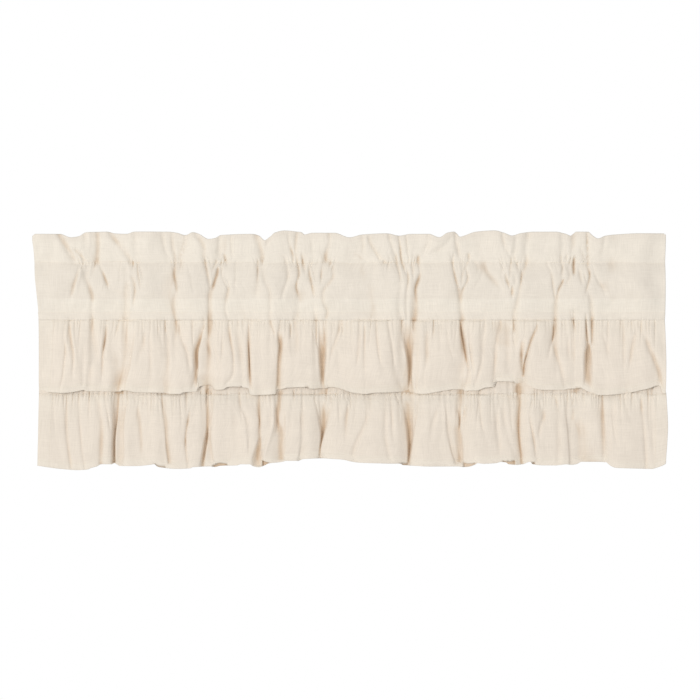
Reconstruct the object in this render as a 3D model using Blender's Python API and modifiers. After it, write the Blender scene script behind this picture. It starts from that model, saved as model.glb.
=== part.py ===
"""Ruffled rod-pocket valance of unbleached cotton muslin, in the shape in which it hangs.

Metres, +Z up. The front faces -Y and the width runs along X. The origin is the middle of
the top edge, in the plane of the rod that the pocket is made for. Four cloths make it:

heading        one cloth folded over at the top edge. Its upper seam parts the header frill
               from the rod pocket, and its lower seam closes the pocket
under_panel    the plain cloth behind the upper ruffle, which carries the lower ruffle
upper_ruffle   a gathered strip that hangs from the heading's lower edge
lower_ruffle   a gathered strip that hangs from the under panel's lower edge

Every cloth is an open sheet with Solidify. A sheet is a grid whose columns follow its
folds: each fold is a valley that runs down the cloth, and the cloth between two valleys
stands forward as a lobe. Sizes in the tables are millimetres, as a maker would note them:
"at" is a valley's place across the width, "deep" how far it lies behind the lobes and
"half" the half width of its groove. A "drop" is a distance below the origin.
"""
from typing import NamedTuple

import bmesh
import bpy
import numpy as np

MM = 0.001

# ---------------------------------------------------------------- driving dimensions (mm)
PART_NAME = "window_valance"
CLOTH = 1.2                 # thickness of every cloth
SEAM_GAP = 0.3              # clearance between two sewn pieces
SEAM_TILT = 0.3             # how far a leaning edge rises by its own thickness

HEADER_SEAM = 57.0          # drop of the seam between header frill and pocket
POCKET_SEAM = 143.0         # drop of the seam that closes the pocket
BACK_LEG_EDGE = 142.0       # drop of the back leg's lower edge
HEADING_EDGE = 157.0        # drop of the heading's lower edge
PANEL_EDGE = 293.0          # drop of the under panel's lower edge
LAYER_SHIFT = 0.85          # half the distance between two layers sewn together

UPPER_REACH = 13.0          # how far the upper ruffle's lobes stand out from the panel
LOWER_REACH = 16.0          # how far the lower ruffle's lobes stand out
RUFFLE_MID = 0.45           # share of a ruffle's length where its middle fold column is read
FLARE = ((0.0, 0.0), (0.12, 0.35), (0.3, 0.65), (0.55, 0.88), (1.0, 1.0))   # reach by length
LOBE_CROWN = 3.5            # extra reach in the middle of a wide lobe
WIDE_LOBE = 60.0            # width from which a lobe has the whole crown
PANEL_CLEARANCE = 3.2       # how far before the panel's plane the upper ruffle's valleys hang
CLEAR_BY = (0.0, 0.12)      # shares of a ruffle's length over which it comes off its seam
GROOVE_BLEND = 4.0          # how sharply two overlapping grooves keep apart
DEEP_SEAM_FOLD = 4.0        # folds of the seam this deep get a column of the ruffles too


class Fold(NamedTuple):
    """One valley: a value for each level of its cloth, from the top down."""

    at: tuple
    deep: tuple
    half: tuple


# Levels of the heading's folds: top edge, header seam, mid pocket, lower edge.
HEADING_LEVELS = (7.0, HEADER_SEAM, 93.0, 150.0)
HEADING_ENDS = ((-549, -548, -545, -541), (547, 547, 547, 547))
HEADING_FOLDS = (
    Fold(at=(-499, -468, -476, -482), deep=(8, 5, 4, 2), half=(9,)),
    Fold(at=(-466, -458, -454, -447), deep=(3, 6, 5, 4), half=(6,)),
    Fold(at=(-437, -440, -425, -407), deep=(5, 6, 6, 2), half=(6,)),
    Fold(at=(-414, -377, -388, -388), deep=(7, 7, 6, 7), half=(8,)),
    Fold(at=(-373, -366, -362, -371), deep=(3, 7, 5, 3), half=(5,)),
    Fold(at=(-305, -300, -302, -302), deep=(3, 6, 7, 4), half=(6,)),
    Fold(at=(-283, -289, -278, -272), deep=(4, 5, 3, 2), half=(6,)),
    Fold(at=(-264, -252, -245, -248), deep=(7, 8, 8, 10), half=(7,)),
    Fold(at=(-226, -231, -234, -238), deep=(5, 6, 8, 8), half=(5,)),
    Fold(at=(-205, -217, -210, -208), deep=(4, 7, 4, 3), half=(6,)),
    Fold(at=(-160, -158, -160, -172), deep=(9, 7, 6, 2), half=(6,)),
    Fold(at=(-141, -147, -144, -138), deep=(6, 5, 4, 4), half=(6,)),
    Fold(at=(-108, -104, -110, -119), deep=(4, 5, 5, 3), half=(6,)),
    Fold(at=(-91, -94, -92, -96), deep=(5, 8, 8, 7), half=(5,)),
    Fold(at=(-79, -80, -67, -58), deep=(5, 6, 8, 9), half=(5,)),
    Fold(at=(-22, -42, -34, -42), deep=(6, 8, 7, 9), half=(6,)),
    Fold(at=(34, 60, 49, 53), deep=(5, 4, 1, 1), half=(7,)),
    Fold(at=(72, 80, 87, 91), deep=(5, 8, 6, 9), half=(6,)),
    Fold(at=(93, 94, 100, 101), deep=(4, 6, 5, 5), half=(5,)),
    Fold(at=(136, 119, 116, 113), deep=(5, 9, 8, 11), half=(6.5,)),
    Fold(at=(160, 139, 143, 146), deep=(7, 2, 1, 1), half=(10,)),
    Fold(at=(189, 179, 184, 190), deep=(8, 6, 7, 9), half=(6,)),
    Fold(at=(202, 205, 197, 201), deep=(4, 5, 6, 6), half=(5,)),
    Fold(at=(266, 275, 272, 282), deep=(5, 7, 7, 9), half=(6,)),
    Fold(at=(311, 304, 297, 297), deep=(5, 6, 8, 8), half=(6,)),
    Fold(at=(340, 343, 350, 356), deep=(1, 2, 5, 5), half=(5,)),
    Fold(at=(375, 368, 366, 364), deep=(6, 7, 6, 5), half=(7,)),
    Fold(at=(388, 388, 381, 387), deep=(6, 8, 4, 4), half=(5,)),
    Fold(at=(413, 413, 413, 417), deep=(7, 8, 8, 10), half=(5,)),
    Fold(at=(440, 434, 434, 447), deep=(6, 3, 3, 1), half=(9,)),
)

# The top edge: places across the width and the drop of the fold there.
TOP_EDGE = (
    (-551, 11), (-546, 7), (-504, 7), (-484, 13), (-470, 11), (-458, 4), (-421, 3),
    (-409, 6), (-387, 7), (-373, 3), (-317, 3), (-300, 5), (-286, 9), (-272, 4),
    (-262, 7), (-245, 16), (-233, 14), (-224, 9), (-169, 7), (-158, 10), (-148, 18),
    (-139, 12), (-131, 5), (-113, 1), (-91, 3), (-84, 4), (-79, 8), (-65, 5), (-27, 5),
    (-1, 13), (22, 8), (63, 6), (86, 10), (105, 7), (136, 7), (155, 13), (169, 5),
    (181, 3), (191, 12), (198, 10), (219, 3), (250, 1), (267, 5), (281, 10), (295, 6),
    (319, 3), (356, 3), (375, 7), (383, 10), (392, 3), (413, 3), (420, 9), (430, 15),
    (444, 10), (461, 8), (503, 6), (544, 6), (548, 9),
)

# Side section of the heading: how far its front and back legs stand from the rod's plane,
# at each drop. Front and back meet at the header seam and at the pocket seam.
FRONT_LEG = ((0, 8), (28, 8), (57, 4), (62, 12), (68, 18.5), (80, 20.5), (95, 20.5),
             (108, 19), (120, 15), (132, 10.5), (143, 6.5), (157, 6.5))
BACK_LEG = ((57, 0), (62, 9), (68, 15.5), (80, 17), (95, 17), (108, 16), (120, 12),
            (132, 7), (143, 0))
POCKET_OPENS = ((57, 0), (68, 1), (122, 1), (143, 0))
BACK_FOLDS = 0.45           # depth of the back leg's folds, as a share of the front's

# Levels of the ruffles' folds: seam, middle, hem.
UPPER_ENDS = ((-539, -538, -539), (546, 547, 547))
UPPER_FOLDS = (
    Fold(at=(-485, -479, -482), deep=(1, 4, 3), half=(5, 5, 6)),
    Fold(at=(-449, -442, -452), deep=(2, 5, 5), half=(8, 11, 12)),
    Fold(at=(-421, -426, -432), deep=(2, 7, 3), half=(4, 4, 6)),
    Fold(at=(-395, -395, -399), deep=(3, 10, 10), half=(8, 11, 10)),
    Fold(at=(-323, -315, -311), deep=(1, 4, 3), half=(5, 5, 6)),
    Fold(at=(-297, -283, -275), deep=(2, 7, 8), half=(6, 7, 6)),
    Fold(at=(-253, -264, -264), deep=(3, 13, 15), half=(6, 6, 5)),
    Fold(at=(-208, -202, -210), deep=(2, 7, 4), half=(5, 5, 6)),
    Fold(at=(-174, -174, -172), deep=(2, 10, 10), half=(5, 5, 5)),
    Fold(at=(-138, -124, -125), deep=(2, 9, 7), half=(5, 5, 6)),
    Fold(at=(-101, -99, -105), deep=(2, 5, 2), half=(4, 4, 6)),
    Fold(at=(-51, -49, -47), deep=(4, 14, 15), half=(8, 7, 4)),
    Fold(at=(68, 75, 91), deep=(1, 4, 4), half=(7, 7, 7)),
    Fold(at=(103, 102, 106), deep=(4, 15, 16), half=(10, 8, 4)),
    Fold(at=(139, 133, 125), deep=(1, 5, 5), half=(6, 6, 6)),
    Fold(at=(195, 202, 202), deep=(3, 12, 11), half=(5, 5, 6)),
    Fold(at=(209, 213, 217), deep=(2, 6, 5), half=(4, 4, 4)),
    Fold(at=(262, 253, 250), deep=(1, 5, 5), half=(6, 6, 6)),
    Fold(at=(276, 278, 282), deep=(2, 6, 9), half=(7, 7, 6)),
    Fold(at=(288, 297, 301), deep=(3, 11, 6), half=(6, 6, 4)),
    Fold(at=(331, 311, 308), deep=(2, 7, 3), half=(5, 5, 4)),
    Fold(at=(354, 352, 373), deep=(2, 6, 4), half=(5, 5, 7)),
    Fold(at=(414, 413, 413), deep=(4, 15, 16), half=(6, 6, 6)),
    Fold(at=(497, 489, 482), deep=(1, 4, 2), half=(6, 6, 7)),
    Fold(at=(506, 525, 541), deep=(1, 5, 9), half=(6, 6, 5)),
)
UPPER_HEM = (
    (-539, 284), (-501, 284), (-477, 282), (-461, 279), (-400, 282), (-345, 283),
    (-307, 282), (-276, 280), (-264, 279), (-260, 273), (-238, 277), (-203, 272),
    (-177, 273), (-172, 286), (-125, 285), (-122, 279), (-103, 275), (-48, 274),
    (-8, 277), (18, 283), (101, 282), (108, 280), (125, 287), (151, 284), (177, 278),
    (219, 279), (243, 273), (252, 265), (279, 264), (283, 272), (305, 272), (357, 279),
    (406, 275), (411, 282), (447, 287), (492, 282), (539, 270), (544, 284), (548, 284),
)

LOWER_ENDS = ((-539, -539, -540), (548, 550, 546))
LOWER_FOLDS = (
    Fold(at=(-492, -489, -482), deep=(1, 4, 4), half=(5, 5, 5)),
    Fold(at=(-469, -466, -458), deep=(1, 5, 5), half=(5, 5, 5)),
    Fold(at=(-435, -428, -429), deep=(2, 6, 6), half=(7, 7, 7)),
    Fold(at=(-407, -407, -409), deep=(3, 16, 16), half=(5, 5, 5)),
    Fold(at=(-394, -394, -395), deep=(3, 9, 9), half=(6, 6, 5)),
    Fold(at=(-323, -314, -307), deep=(2, 8, 9), half=(7, 7, 10)),
    Fold(at=(-283, -282, -279), deep=(2, 9, 9), half=(5, 5, 5)),
    Fold(at=(-247, -247, -253), deep=(3, 14, 15), half=(6, 6, 6)),
    Fold(at=(-193, -181, -174), deep=(1, 4, 2), half=(6, 6, 8)),
    Fold(at=(-158, -156, -159), deep=(2, 11, 17), half=(5, 5, 8)),
    Fold(at=(-122, -125, -132), deep=(3, 10, 5), half=(5, 5, 7)),
    Fold(at=(-86, -80, -80), deep=(1, 3, 4), half=(8, 8, 9)),
    Fold(at=(-48, -48, -52), deep=(4, 14, 10), half=(12, 8, 5)),
    Fold(at=(38, 23, 3), deep=(1, 5, 5), half=(7, 7, 7)),
    Fold(at=(62, 62, 72), deep=(1, 5, 4), half=(6, 6, 7)),
    Fold(at=(101, 105, 101), deep=(4, 17, 17), half=(14, 10, 5)),
    Fold(at=(167, 172, 183), deep=(1, 5, 5), half=(7, 7, 7)),
    Fold(at=(191, 191, 194), deep=(2, 12, 14), half=(6, 6, 5)),
    Fold(at=(226, 231, 238), deep=(1, 5, 2), half=(5, 5, 6)),
    Fold(at=(264, 270, 284), deep=(1, 5, 5), half=(7, 7, 6)),
    Fold(at=(295, 292, 298), deep=(4, 14, 15), half=(6, 6, 6)),
    Fold(at=(316, 316, 323), deep=(2, 8, 8), half=(5, 5, 5)),
    Fold(at=(333, 333, 338), deep=(1, 5, 2), half=(5, 5, 6)),
    Fold(at=(390, 394, 394), deep=(2, 8, 9), half=(11, 11, 12)),
    Fold(at=(435, 439, 442), deep=(1, 5, 6), half=(6, 6, 6)),
    Fold(at=(504, 509, 511), deep=(1, 5, 5), half=(5, 5, 5)),
)
LOWER_HEM = (
    (-540, 410), (-511, 413), (-459, 417), (-445, 414), (-428, 407), (-407, 406),
    (-399, 410), (-345, 410), (-307, 414), (-259, 414), (-214, 410), (-172, 409),
    (-158, 412), (-144, 407), (-106, 400), (-54, 397), (-27, 398), (1, 401), (53, 406),
    (84, 406), (98, 410), (183, 411), (198, 413), (226, 406), (267, 405), (281, 409),
    (295, 408), (312, 403), (326, 408), (385, 408), (406, 403), (433, 403), (447, 408),
    (465, 413), (520, 415), (541, 412), (546, 407),
)

# The wave in which the under panel's lower edge runs, where the lower ruffle is sewn on.
PANEL_EDGE_LEVELS = (PANEL_EDGE,)
PANEL_EDGE_FOLDS = (
    Fold(at=(-430,), deep=(2,), half=(10,)),
    Fold(at=(-402,), deep=(9,), half=(11,)),
    Fold(at=(-320,), deep=(4,), half=(12,)),
    Fold(at=(-247,), deep=(6,), half=(12,)),
    Fold(at=(-158,), deep=(3,), half=(10,)),
    Fold(at=(-122,), deep=(4,), half=(9,)),
    Fold(at=(-48,), deep=(7,), half=(16,)),
    Fold(at=(101,), deep=(9,), half=(16,)),
    Fold(at=(191,), deep=(5,), half=(12,)),
    Fold(at=(295,), deep=(7,), half=(11,)),
    Fold(at=(390,), deep=(5,), half=(16,)),
    Fold(at=(440,), deep=(2,), half=(12,)),
)
PANEL_FRONT = 8.0           # how far the panel's lower edge stands before the rod's plane
# How far behind that wave the panel hangs at each drop: sewn up behind the pocket's seam,
# free of the heading's lower strip, and back in the wave where the lower ruffle is sewn on.
PANEL_BEHIND = ((143, 1.4), (157, 3.5), (293, 0))

# Rows of each sheet. The heading's are drops on its front leg and on its back leg.
FRONT_ROWS = (157, 143, 125, 105, 85, 68, 57, 28)
BACK_ROWS = (28, 57, 68, 92, 120, BACK_LEG_EDGE)
FOLD_ROUND = 2.5            # height of the rounded fold along the top edge
RUFFLE_ROWS = (0.0, 0.12, 0.3, 0.55, 0.8, 1.0)
PANEL_ROWS = (PANEL_EDGE, 157, BACK_LEG_EDGE + SEAM_GAP + 2 * SEAM_TILT)
WIDEST_COLUMN = 17.0        # no column of a sheet is wider than this
NARROWEST_COLUMN = 3.2      # nor narrower

CLOTH_COLOURS = {
    "heading": "#EFE6D8",
    "under_panel": "#E6DAC7",
    "upper_ruffle": "#EBE0CF",
    "lower_ruffle": "#E9DDCB",
}


# ---------------------------------------------------------------- folds as a height field
def read_levels(rows, levels, drop):
    """Value of each row of a table at each drop: (folds, points) from (folds, levels)."""
    return np.array([np.interp(drop, levels, np.broadcast_to(row, len(levels)))
                     for row in rows])


def groove_depth(x, drop, folds, levels):
    """Depth of the cloth behind its lobes: the overlapping bell-shaped grooves of all folds."""
    shape = np.broadcast(x, drop).shape
    x = np.broadcast_to(x, shape).ravel()
    drop = np.broadcast_to(drop, shape).ravel()
    at = read_levels([fold.at for fold in folds], levels, drop)
    deep = read_levels([fold.deep for fold in folds], levels, drop)
    half = read_levels([fold.half for fold in folds], levels, drop)
    bell = deep * np.exp(-((x - at) / half) ** 2)
    return (np.sum(bell ** GROOVE_BLEND, axis=0) ** (1.0 / GROOVE_BLEND)).reshape(shape)


def drop_of(edge, x):
    """Drop of an edge that is given as places across the width and their drops."""
    places, drops = zip(*edge)
    return np.interp(x, places, drops)


def columns_of(ends, folds, also=()):
    """Places across the width, read at a cloth's top level, where its grid has columns."""
    wanted = [end[0] for end in ends] + list(also)
    for fold in folds:
        flank = 0.9 * max(fold.half)
        wanted += [fold.at[0] - flank, fold.at[0], fold.at[0] + flank]
    valleys = {fold.at[0] for fold in folds} | {end[0] for end in ends}
    kept = []
    for place in sorted(place for place in wanted if ends[0][0] <= place <= ends[1][0]):
        if kept and place - kept[-1] < NARROWEST_COLUMN:
            if place in valleys and kept[-1] not in valleys:
                kept[-1] = place
            continue
        if kept:
            steps = int(np.ceil((place - kept[-1]) / WIDEST_COLUMN))
            kept += list(np.linspace(kept[-1], place, steps + 1)[1:-1])
        kept.append(place)
    return np.array(kept, dtype=float)


def follow_folds(columns, ends, folds, levels, drop):
    """Where the columns lie at each drop: they keep their place between the valleys."""
    rails = [ends[0]] + [fold.at for fold in folds] + [ends[1]]
    rails_at_drop = read_levels(rails, levels, np.atleast_1d(drop))
    top = [rail[0] for rail in rails]
    return np.array([np.interp(columns, top, row) for row in rails_at_drop.T])


def shift_along_normal(x, y, distance):
    """Offset of wavy rows seen from above: positive distances go back, towards +Y."""
    slope_x = np.gradient(x, axis=1)
    slope_y = np.gradient(y, axis=1)
    length = np.hypot(slope_x, slope_y)
    return x - distance * slope_y / length, y + distance * slope_x / length


# ---------------------------------------------------------------- the four cloths
def seam_wave(x, drop):
    """Depth of the heading where its layers lie together: header, seams and lower strip."""
    crest = -np.interp(drop, *zip(*FRONT_LEG))
    return crest + groove_depth(x, drop, HEADING_FOLDS, HEADING_LEVELS)


def leg_rows(drops, side):
    """Rows of the heading's front leg (side -1) or back leg (side +1) at the given drops."""
    columns = columns_of(HEADING_ENDS, HEADING_FOLDS)
    drops = np.array(drops, dtype=float)
    x = follow_folds(columns, HEADING_ENDS, HEADING_FOLDS, HEADING_LEVELS, drops)
    drop = np.broadcast_to(drops[:, None], x.shape)
    opens = np.interp(drop, *zip(*POCKET_OPENS))
    together = seam_wave(x, np.where(drop > HEADER_SEAM, np.maximum(drop, POCKET_SEAM), drop))
    at_header_seam = seam_wave(x, np.minimum(drop, HEADER_SEAM))
    halfway = 0.5 * (HEADER_SEAM + POCKET_SEAM)
    together = np.where(drop < halfway, at_header_seam, together)
    if side < 0:
        apart = seam_wave(x, drop)
    else:
        folds = groove_depth(x, drop, HEADING_FOLDS, HEADING_LEVELS)
        apart = np.interp(drop, *zip(*BACK_LEG)) - BACK_FOLDS * folds
    y = together + opens * (apart - together)
    x, y = shift_along_normal(x, y, side * LAYER_SHIFT)
    top = drop_of(TOP_EDGE, x)
    share = np.minimum(drop / HEADER_SEAM, 1.0)
    z = -np.where(drop < HEADER_SEAM, top + (HEADER_SEAM - top) * share, drop)
    return np.stack([x, y, z], axis=-1)


def heading_points():
    """The folded cloth: up the front leg, over the top edge and down the back leg."""
    front = leg_rows(FRONT_ROWS + (FOLD_ROUND,), side=-1.0)
    back = leg_rows((FOLD_ROUND,) + BACK_ROWS, side=1.0)
    crown = 0.5 * (front[-1:] + back[:1])
    crown[..., 2] = -drop_of(TOP_EDGE, crown[..., 0])
    return np.concatenate([front, crown, back])


def panel_depth(x, drop):
    """Depth of the under panel, from the heading's wave to the wave of its own lower edge."""
    upper = seam_wave(x, np.clip(drop, POCKET_SEAM, HEADING_EDGE))
    lower = groove_depth(x, PANEL_EDGE, PANEL_EDGE_FOLDS, PANEL_EDGE_LEVELS) - PANEL_FRONT
    share = np.clip((drop - HEADING_EDGE) / (PANEL_EDGE - HEADING_EDGE), 0.0, 1.0)
    return upper + share * (lower - upper)


def under_panel_points():
    """The plain cloth behind the upper ruffle, sewn in under the back leg's lower edge."""
    columns = columns_of(HEADING_ENDS, HEADING_FOLDS)
    drops = np.array(PANEL_ROWS, dtype=float)
    x = follow_folds(columns, HEADING_ENDS, HEADING_FOLDS, HEADING_LEVELS, drops)
    drop = np.broadcast_to(drops[:, None], x.shape)
    x, y = shift_along_normal(x, panel_depth(x, drop), np.interp(drop, *zip(*PANEL_BEHIND)))
    return np.stack([x, y, -drop], axis=-1)


def ruffle_points(ends, folds, hem, top, reach, carrier, before):
    """A gathered strip: its valleys hang close to their carrier and its lobes stand out."""
    seam_folds = [fold.at[-1] for fold in HEADING_FOLDS if fold.deep[-1] >= DEEP_SEAM_FOLD]
    columns = columns_of(ends, folds, seam_folds)
    valleys = np.array([ends[0][0]] + [fold.at[0] for fold in folds] + [ends[1][0]], dtype=float)
    nearest = np.searchsorted(valleys, columns, side="right").clip(1, len(valleys) - 1)
    width = valleys[nearest] - valleys[nearest - 1]
    place = (columns - valleys[nearest - 1]) / width
    crown = LOBE_CROWN * np.sin(np.pi * place) * np.minimum(width / WIDE_LOBE, 1.0)

    share = np.array(RUFFLE_ROWS[::-1])[:, None]
    levels = (0.0, RUFFLE_MID, 1.0)
    x = follow_folds(columns, ends, folds, levels, share[:, 0])
    drop = top + share * (drop_of(hem, x) - top)
    out = reach * np.interp(share, *zip(*FLARE))
    depth = groove_depth(x, share, folds, levels)
    lobe = np.maximum(out + share * crown - depth, 0.0)
    x, y = shift_along_normal(x, carrier(x, drop), -np.interp(share, CLEAR_BY, before))
    return np.stack([x, y - lobe, -drop], axis=-1)


def upper_ruffle_points():
    """The strip sewn in under the heading's lower edge, in front of the under panel."""
    return ruffle_points(UPPER_ENDS, UPPER_FOLDS, UPPER_HEM,
                         HEADING_EDGE + SEAM_GAP + SEAM_TILT, UPPER_REACH,
                         panel_depth, (LAYER_SHIFT, PANEL_CLEARANCE))


def lower_ruffle_points():
    """The strip sewn to the under panel's lower edge, edge to edge with it."""
    def below_panel(x, drop):
        return panel_depth(x, np.full_like(x, PANEL_EDGE))
    return ruffle_points(LOWER_ENDS, LOWER_FOLDS, LOWER_HEM,
                         PANEL_EDGE + SEAM_GAP + SEAM_TILT, LOWER_REACH,
                         below_panel, (0.0, 0.0))


# ---------------------------------------------------------------- sheets, materials, scene
def linear_colour(hex_colour):
    """sRGB hex text as the linear RGBA that a shader takes."""
    srgb = np.array([int(hex_colour[i:i + 2], 16) for i in (1, 3, 5)]) / 255.0
    linear = np.where(srgb <= 0.04045, srgb / 12.92, ((srgb + 0.055) / 1.055) ** 2.4)
    return (*linear, 1.0)


def muslin(name):
    """Unbleached cotton muslin: matt, warm off-white."""
    material = bpy.data.materials.new(name + "_muslin")
    material.use_nodes = True
    shader = material.node_tree.nodes["Principled BSDF"]
    shader.inputs["Base Color"].default_value = linear_colour(CLOTH_COLOURS[name])
    shader.inputs["Roughness"].default_value = 0.85
    shader.inputs["Metallic"].default_value = 0.0
    return material


def sheet(name, points, collection):
    """A cloth from rows of points (row, column, xyz in mm), thickened about its middle."""
    row_count, column_count = points.shape[:2]
    shape = bmesh.new()
    bmesh.ops.create_grid(shape, x_segments=column_count - 1, y_segments=row_count - 1, size=1.0)
    for vert in shape.verts:
        column = round((vert.co.x + 1.0) * 0.5 * (column_count - 1))
        row = round((vert.co.y + 1.0) * 0.5 * (row_count - 1))
        vert.co = points[row, column] * MM
    mesh = bpy.data.meshes.new(name)
    shape.to_mesh(mesh)
    shape.free()
    mesh.shade_smooth()
    mesh.materials.append(muslin(name))
    cloth = bpy.data.objects.new(name, mesh)
    collection.objects.link(cloth)
    solidify = cloth.modifiers.new("thickness", "SOLIDIFY")
    solidify.thickness = CLOTH * MM
    solidify.offset = 0.0
    return cloth


def clear_scene():
    """Remove whatever objects the file starts with."""
    for old in list(bpy.data.objects):
        bpy.data.objects.remove(old, do_unlink=True)


def main():
    """Build the valance."""
    clear_scene()
    collection = bpy.data.collections.new(PART_NAME)
    bpy.context.scene.collection.children.link(collection)
    sheet("heading", heading_points(), collection)
    sheet("under_panel", under_panel_points(), collection)
    sheet("upper_ruffle", upper_ruffle_points(), collection)
    sheet("lower_ruffle", lower_ruffle_points(), collection)


main()
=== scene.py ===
# %% [markdown]
# # A ruffled rod-pocket valance of cotton muslin
#
# The real object is a short curtain for the top of a window. A maker folds one cloth over at the
# top, sews two lines across it and gets a header frill and a pocket for the rod. A plain cloth
# hangs from the pocket's seam, and two gathered strips, the ruffles, hang from the two cloths.
# Pushed together on its rod, all of it falls in folds.
#
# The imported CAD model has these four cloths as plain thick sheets. This script loads them as its
# frame and puts a thin, finely creased sheet in the place of each one, so what is seen is cloth
# and what MuJoCo holds is the model.

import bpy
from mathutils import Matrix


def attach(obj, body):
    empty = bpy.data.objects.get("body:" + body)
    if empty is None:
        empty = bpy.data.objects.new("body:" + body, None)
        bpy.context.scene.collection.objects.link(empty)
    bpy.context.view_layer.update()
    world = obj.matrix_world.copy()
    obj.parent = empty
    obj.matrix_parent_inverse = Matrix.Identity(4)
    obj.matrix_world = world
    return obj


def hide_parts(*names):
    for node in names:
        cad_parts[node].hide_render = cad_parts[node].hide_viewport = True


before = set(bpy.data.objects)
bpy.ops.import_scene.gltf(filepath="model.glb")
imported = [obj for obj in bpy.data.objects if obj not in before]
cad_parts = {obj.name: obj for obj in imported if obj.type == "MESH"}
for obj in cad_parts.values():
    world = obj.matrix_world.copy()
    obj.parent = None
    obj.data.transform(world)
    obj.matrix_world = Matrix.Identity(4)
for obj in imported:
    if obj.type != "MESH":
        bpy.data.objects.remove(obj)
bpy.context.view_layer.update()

# %% [markdown]
# ## Sizes, and tables that are read smoothly
#
# Every size below is in millimetres, as a maker would note it, and turns to metres only when a
# mesh is made. x is the distance to the right of the middle, and a "drop" is a distance below the
# top. A hanging cloth has no corners in it, so a table of a few rows is read on a smooth curve.
# Blender's own curves could do that. A cubic in numpy does it for a whole grid at once.

# %% Millimetres and a smooth reading of a table
from collections.abc import Callable
from typing import NamedTuple

import bpy
import numpy as np
from mathutils import Vector

MM = 0.001


def smooth_read(places, values, at):
    """Value of a table at any place, on a curve that never overshoots a row.

    Between two rows it is a cubic. Its slope at a row is the harmonic mean of the slopes to
    the rows beside it, and level where the table turns.
    """
    places = np.asarray(places, dtype=float)
    values = np.broadcast_to(np.asarray(values, dtype=float), places.shape)
    step = np.diff(places)
    rise = np.diff(values) / step
    before, after = rise[:-1], rise[1:]
    turns = before * after <= 0.0
    inner = np.where(turns, 0.0, 2.0 * before * after / np.where(turns, 1.0, before + after))
    slope = np.concatenate([rise[:1], inner, rise[-1:]])
    at = np.clip(at, places[0], places[-1])
    row = np.clip(np.searchsorted(places, at, side="right") - 1, 0, len(step) - 1)
    t = (at - places[row]) / step[row]
    start = values[row] * (1 + 2 * t) + step[row] * slope[row] * t
    end = values[row + 1] * (3 - 2 * t) - step[row] * slope[row + 1] * (1 - t)
    return start * (1 - t) ** 2 + end * t ** 2


def ramp(value):
    """0 below 0, 1 above 1, and a soft S between them."""
    value = np.clip(value, 0.0, 1.0)
    return value * value * (3.0 - 2.0 * value)


print("halfway between 0 and 10:", float(smooth_read((0, 1), (0, 10), 0.5)))

# %% [markdown]
# ## What a crease is
#
# Seen from above, gathered cloth is a row of broad lobes that face the room, parted by narrow
# troughs. Each trough wanders down the cloth, gets deeper or fades out, and often has one steep
# side, where a lobe turns back on itself, and one long one. So a crease here is a line through a
# few places with a depth at each of them, and one of six kinds that say how far it reaches to
# either side: a soft band, a dip, a narrow line, a lap whose left or right side is steep, or a
# gap between two lobes. The three cloths that face the room have some three hundred of them.
#
# Such folds could come from a cloth simulation, but that would put them where it likes. Placed one
# by one they fall where they do on the real valance. Where two creases meet, the deeper one wins
# softly, which a power mean of their depths gives.

# %% Creases: soft troughs and ridges along a line
KINDS = {             # mm that the left and right side reach, radius of the bottom, and how square
    "band": (5.0, 5.0, 2.5, 1.4),
    "dip": (3.0, 3.0, 1.2, 1.4),
    "line": (2.0, 2.0, 0.3, 1.3),
    "left_lap": (1.4, 8.0, 0.4, 2.2),
    "right_lap": (8.0, 1.4, 0.4, 2.2),
    "gap": (5.0, 5.0, 1.5, 2.6),
}
TURN = 0.3            # mm over which one side's reach changes into the other's
FADE = 7.0            # mm over which a crease runs out past its ends
CORE = 0.7            # share of a side's reach that its steep part takes
SHOULDER = 0.16       # share of a crease's depth that is its wide, soft surroundings
SHOULDER_WIDTH = 3.0  # how many times wider those are than a side's reach
BLEND = 3.0           # power of the mean: higher keeps two creases more apart
BELL_ENDS = 2.5       # widths of that bell past which a crease no longer counts
EASED = 6.0           # mm up and down over which a crease's line is averaged


def crease_places(wide, places):
    """Four arrays from a crease's row: x, drop, depth and width factor of each of its places."""
    return np.array([(*place, wide)[:4] for place in places], dtype=float).T


def line_of(drops, across, at):
    """x of a crease's line at some drops: the mean of its table there and EASED mm up and down."""
    return sum(smooth_read(drops, across, at + step) for step in (-EASED, 0.0, EASED)) / 3.0


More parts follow.
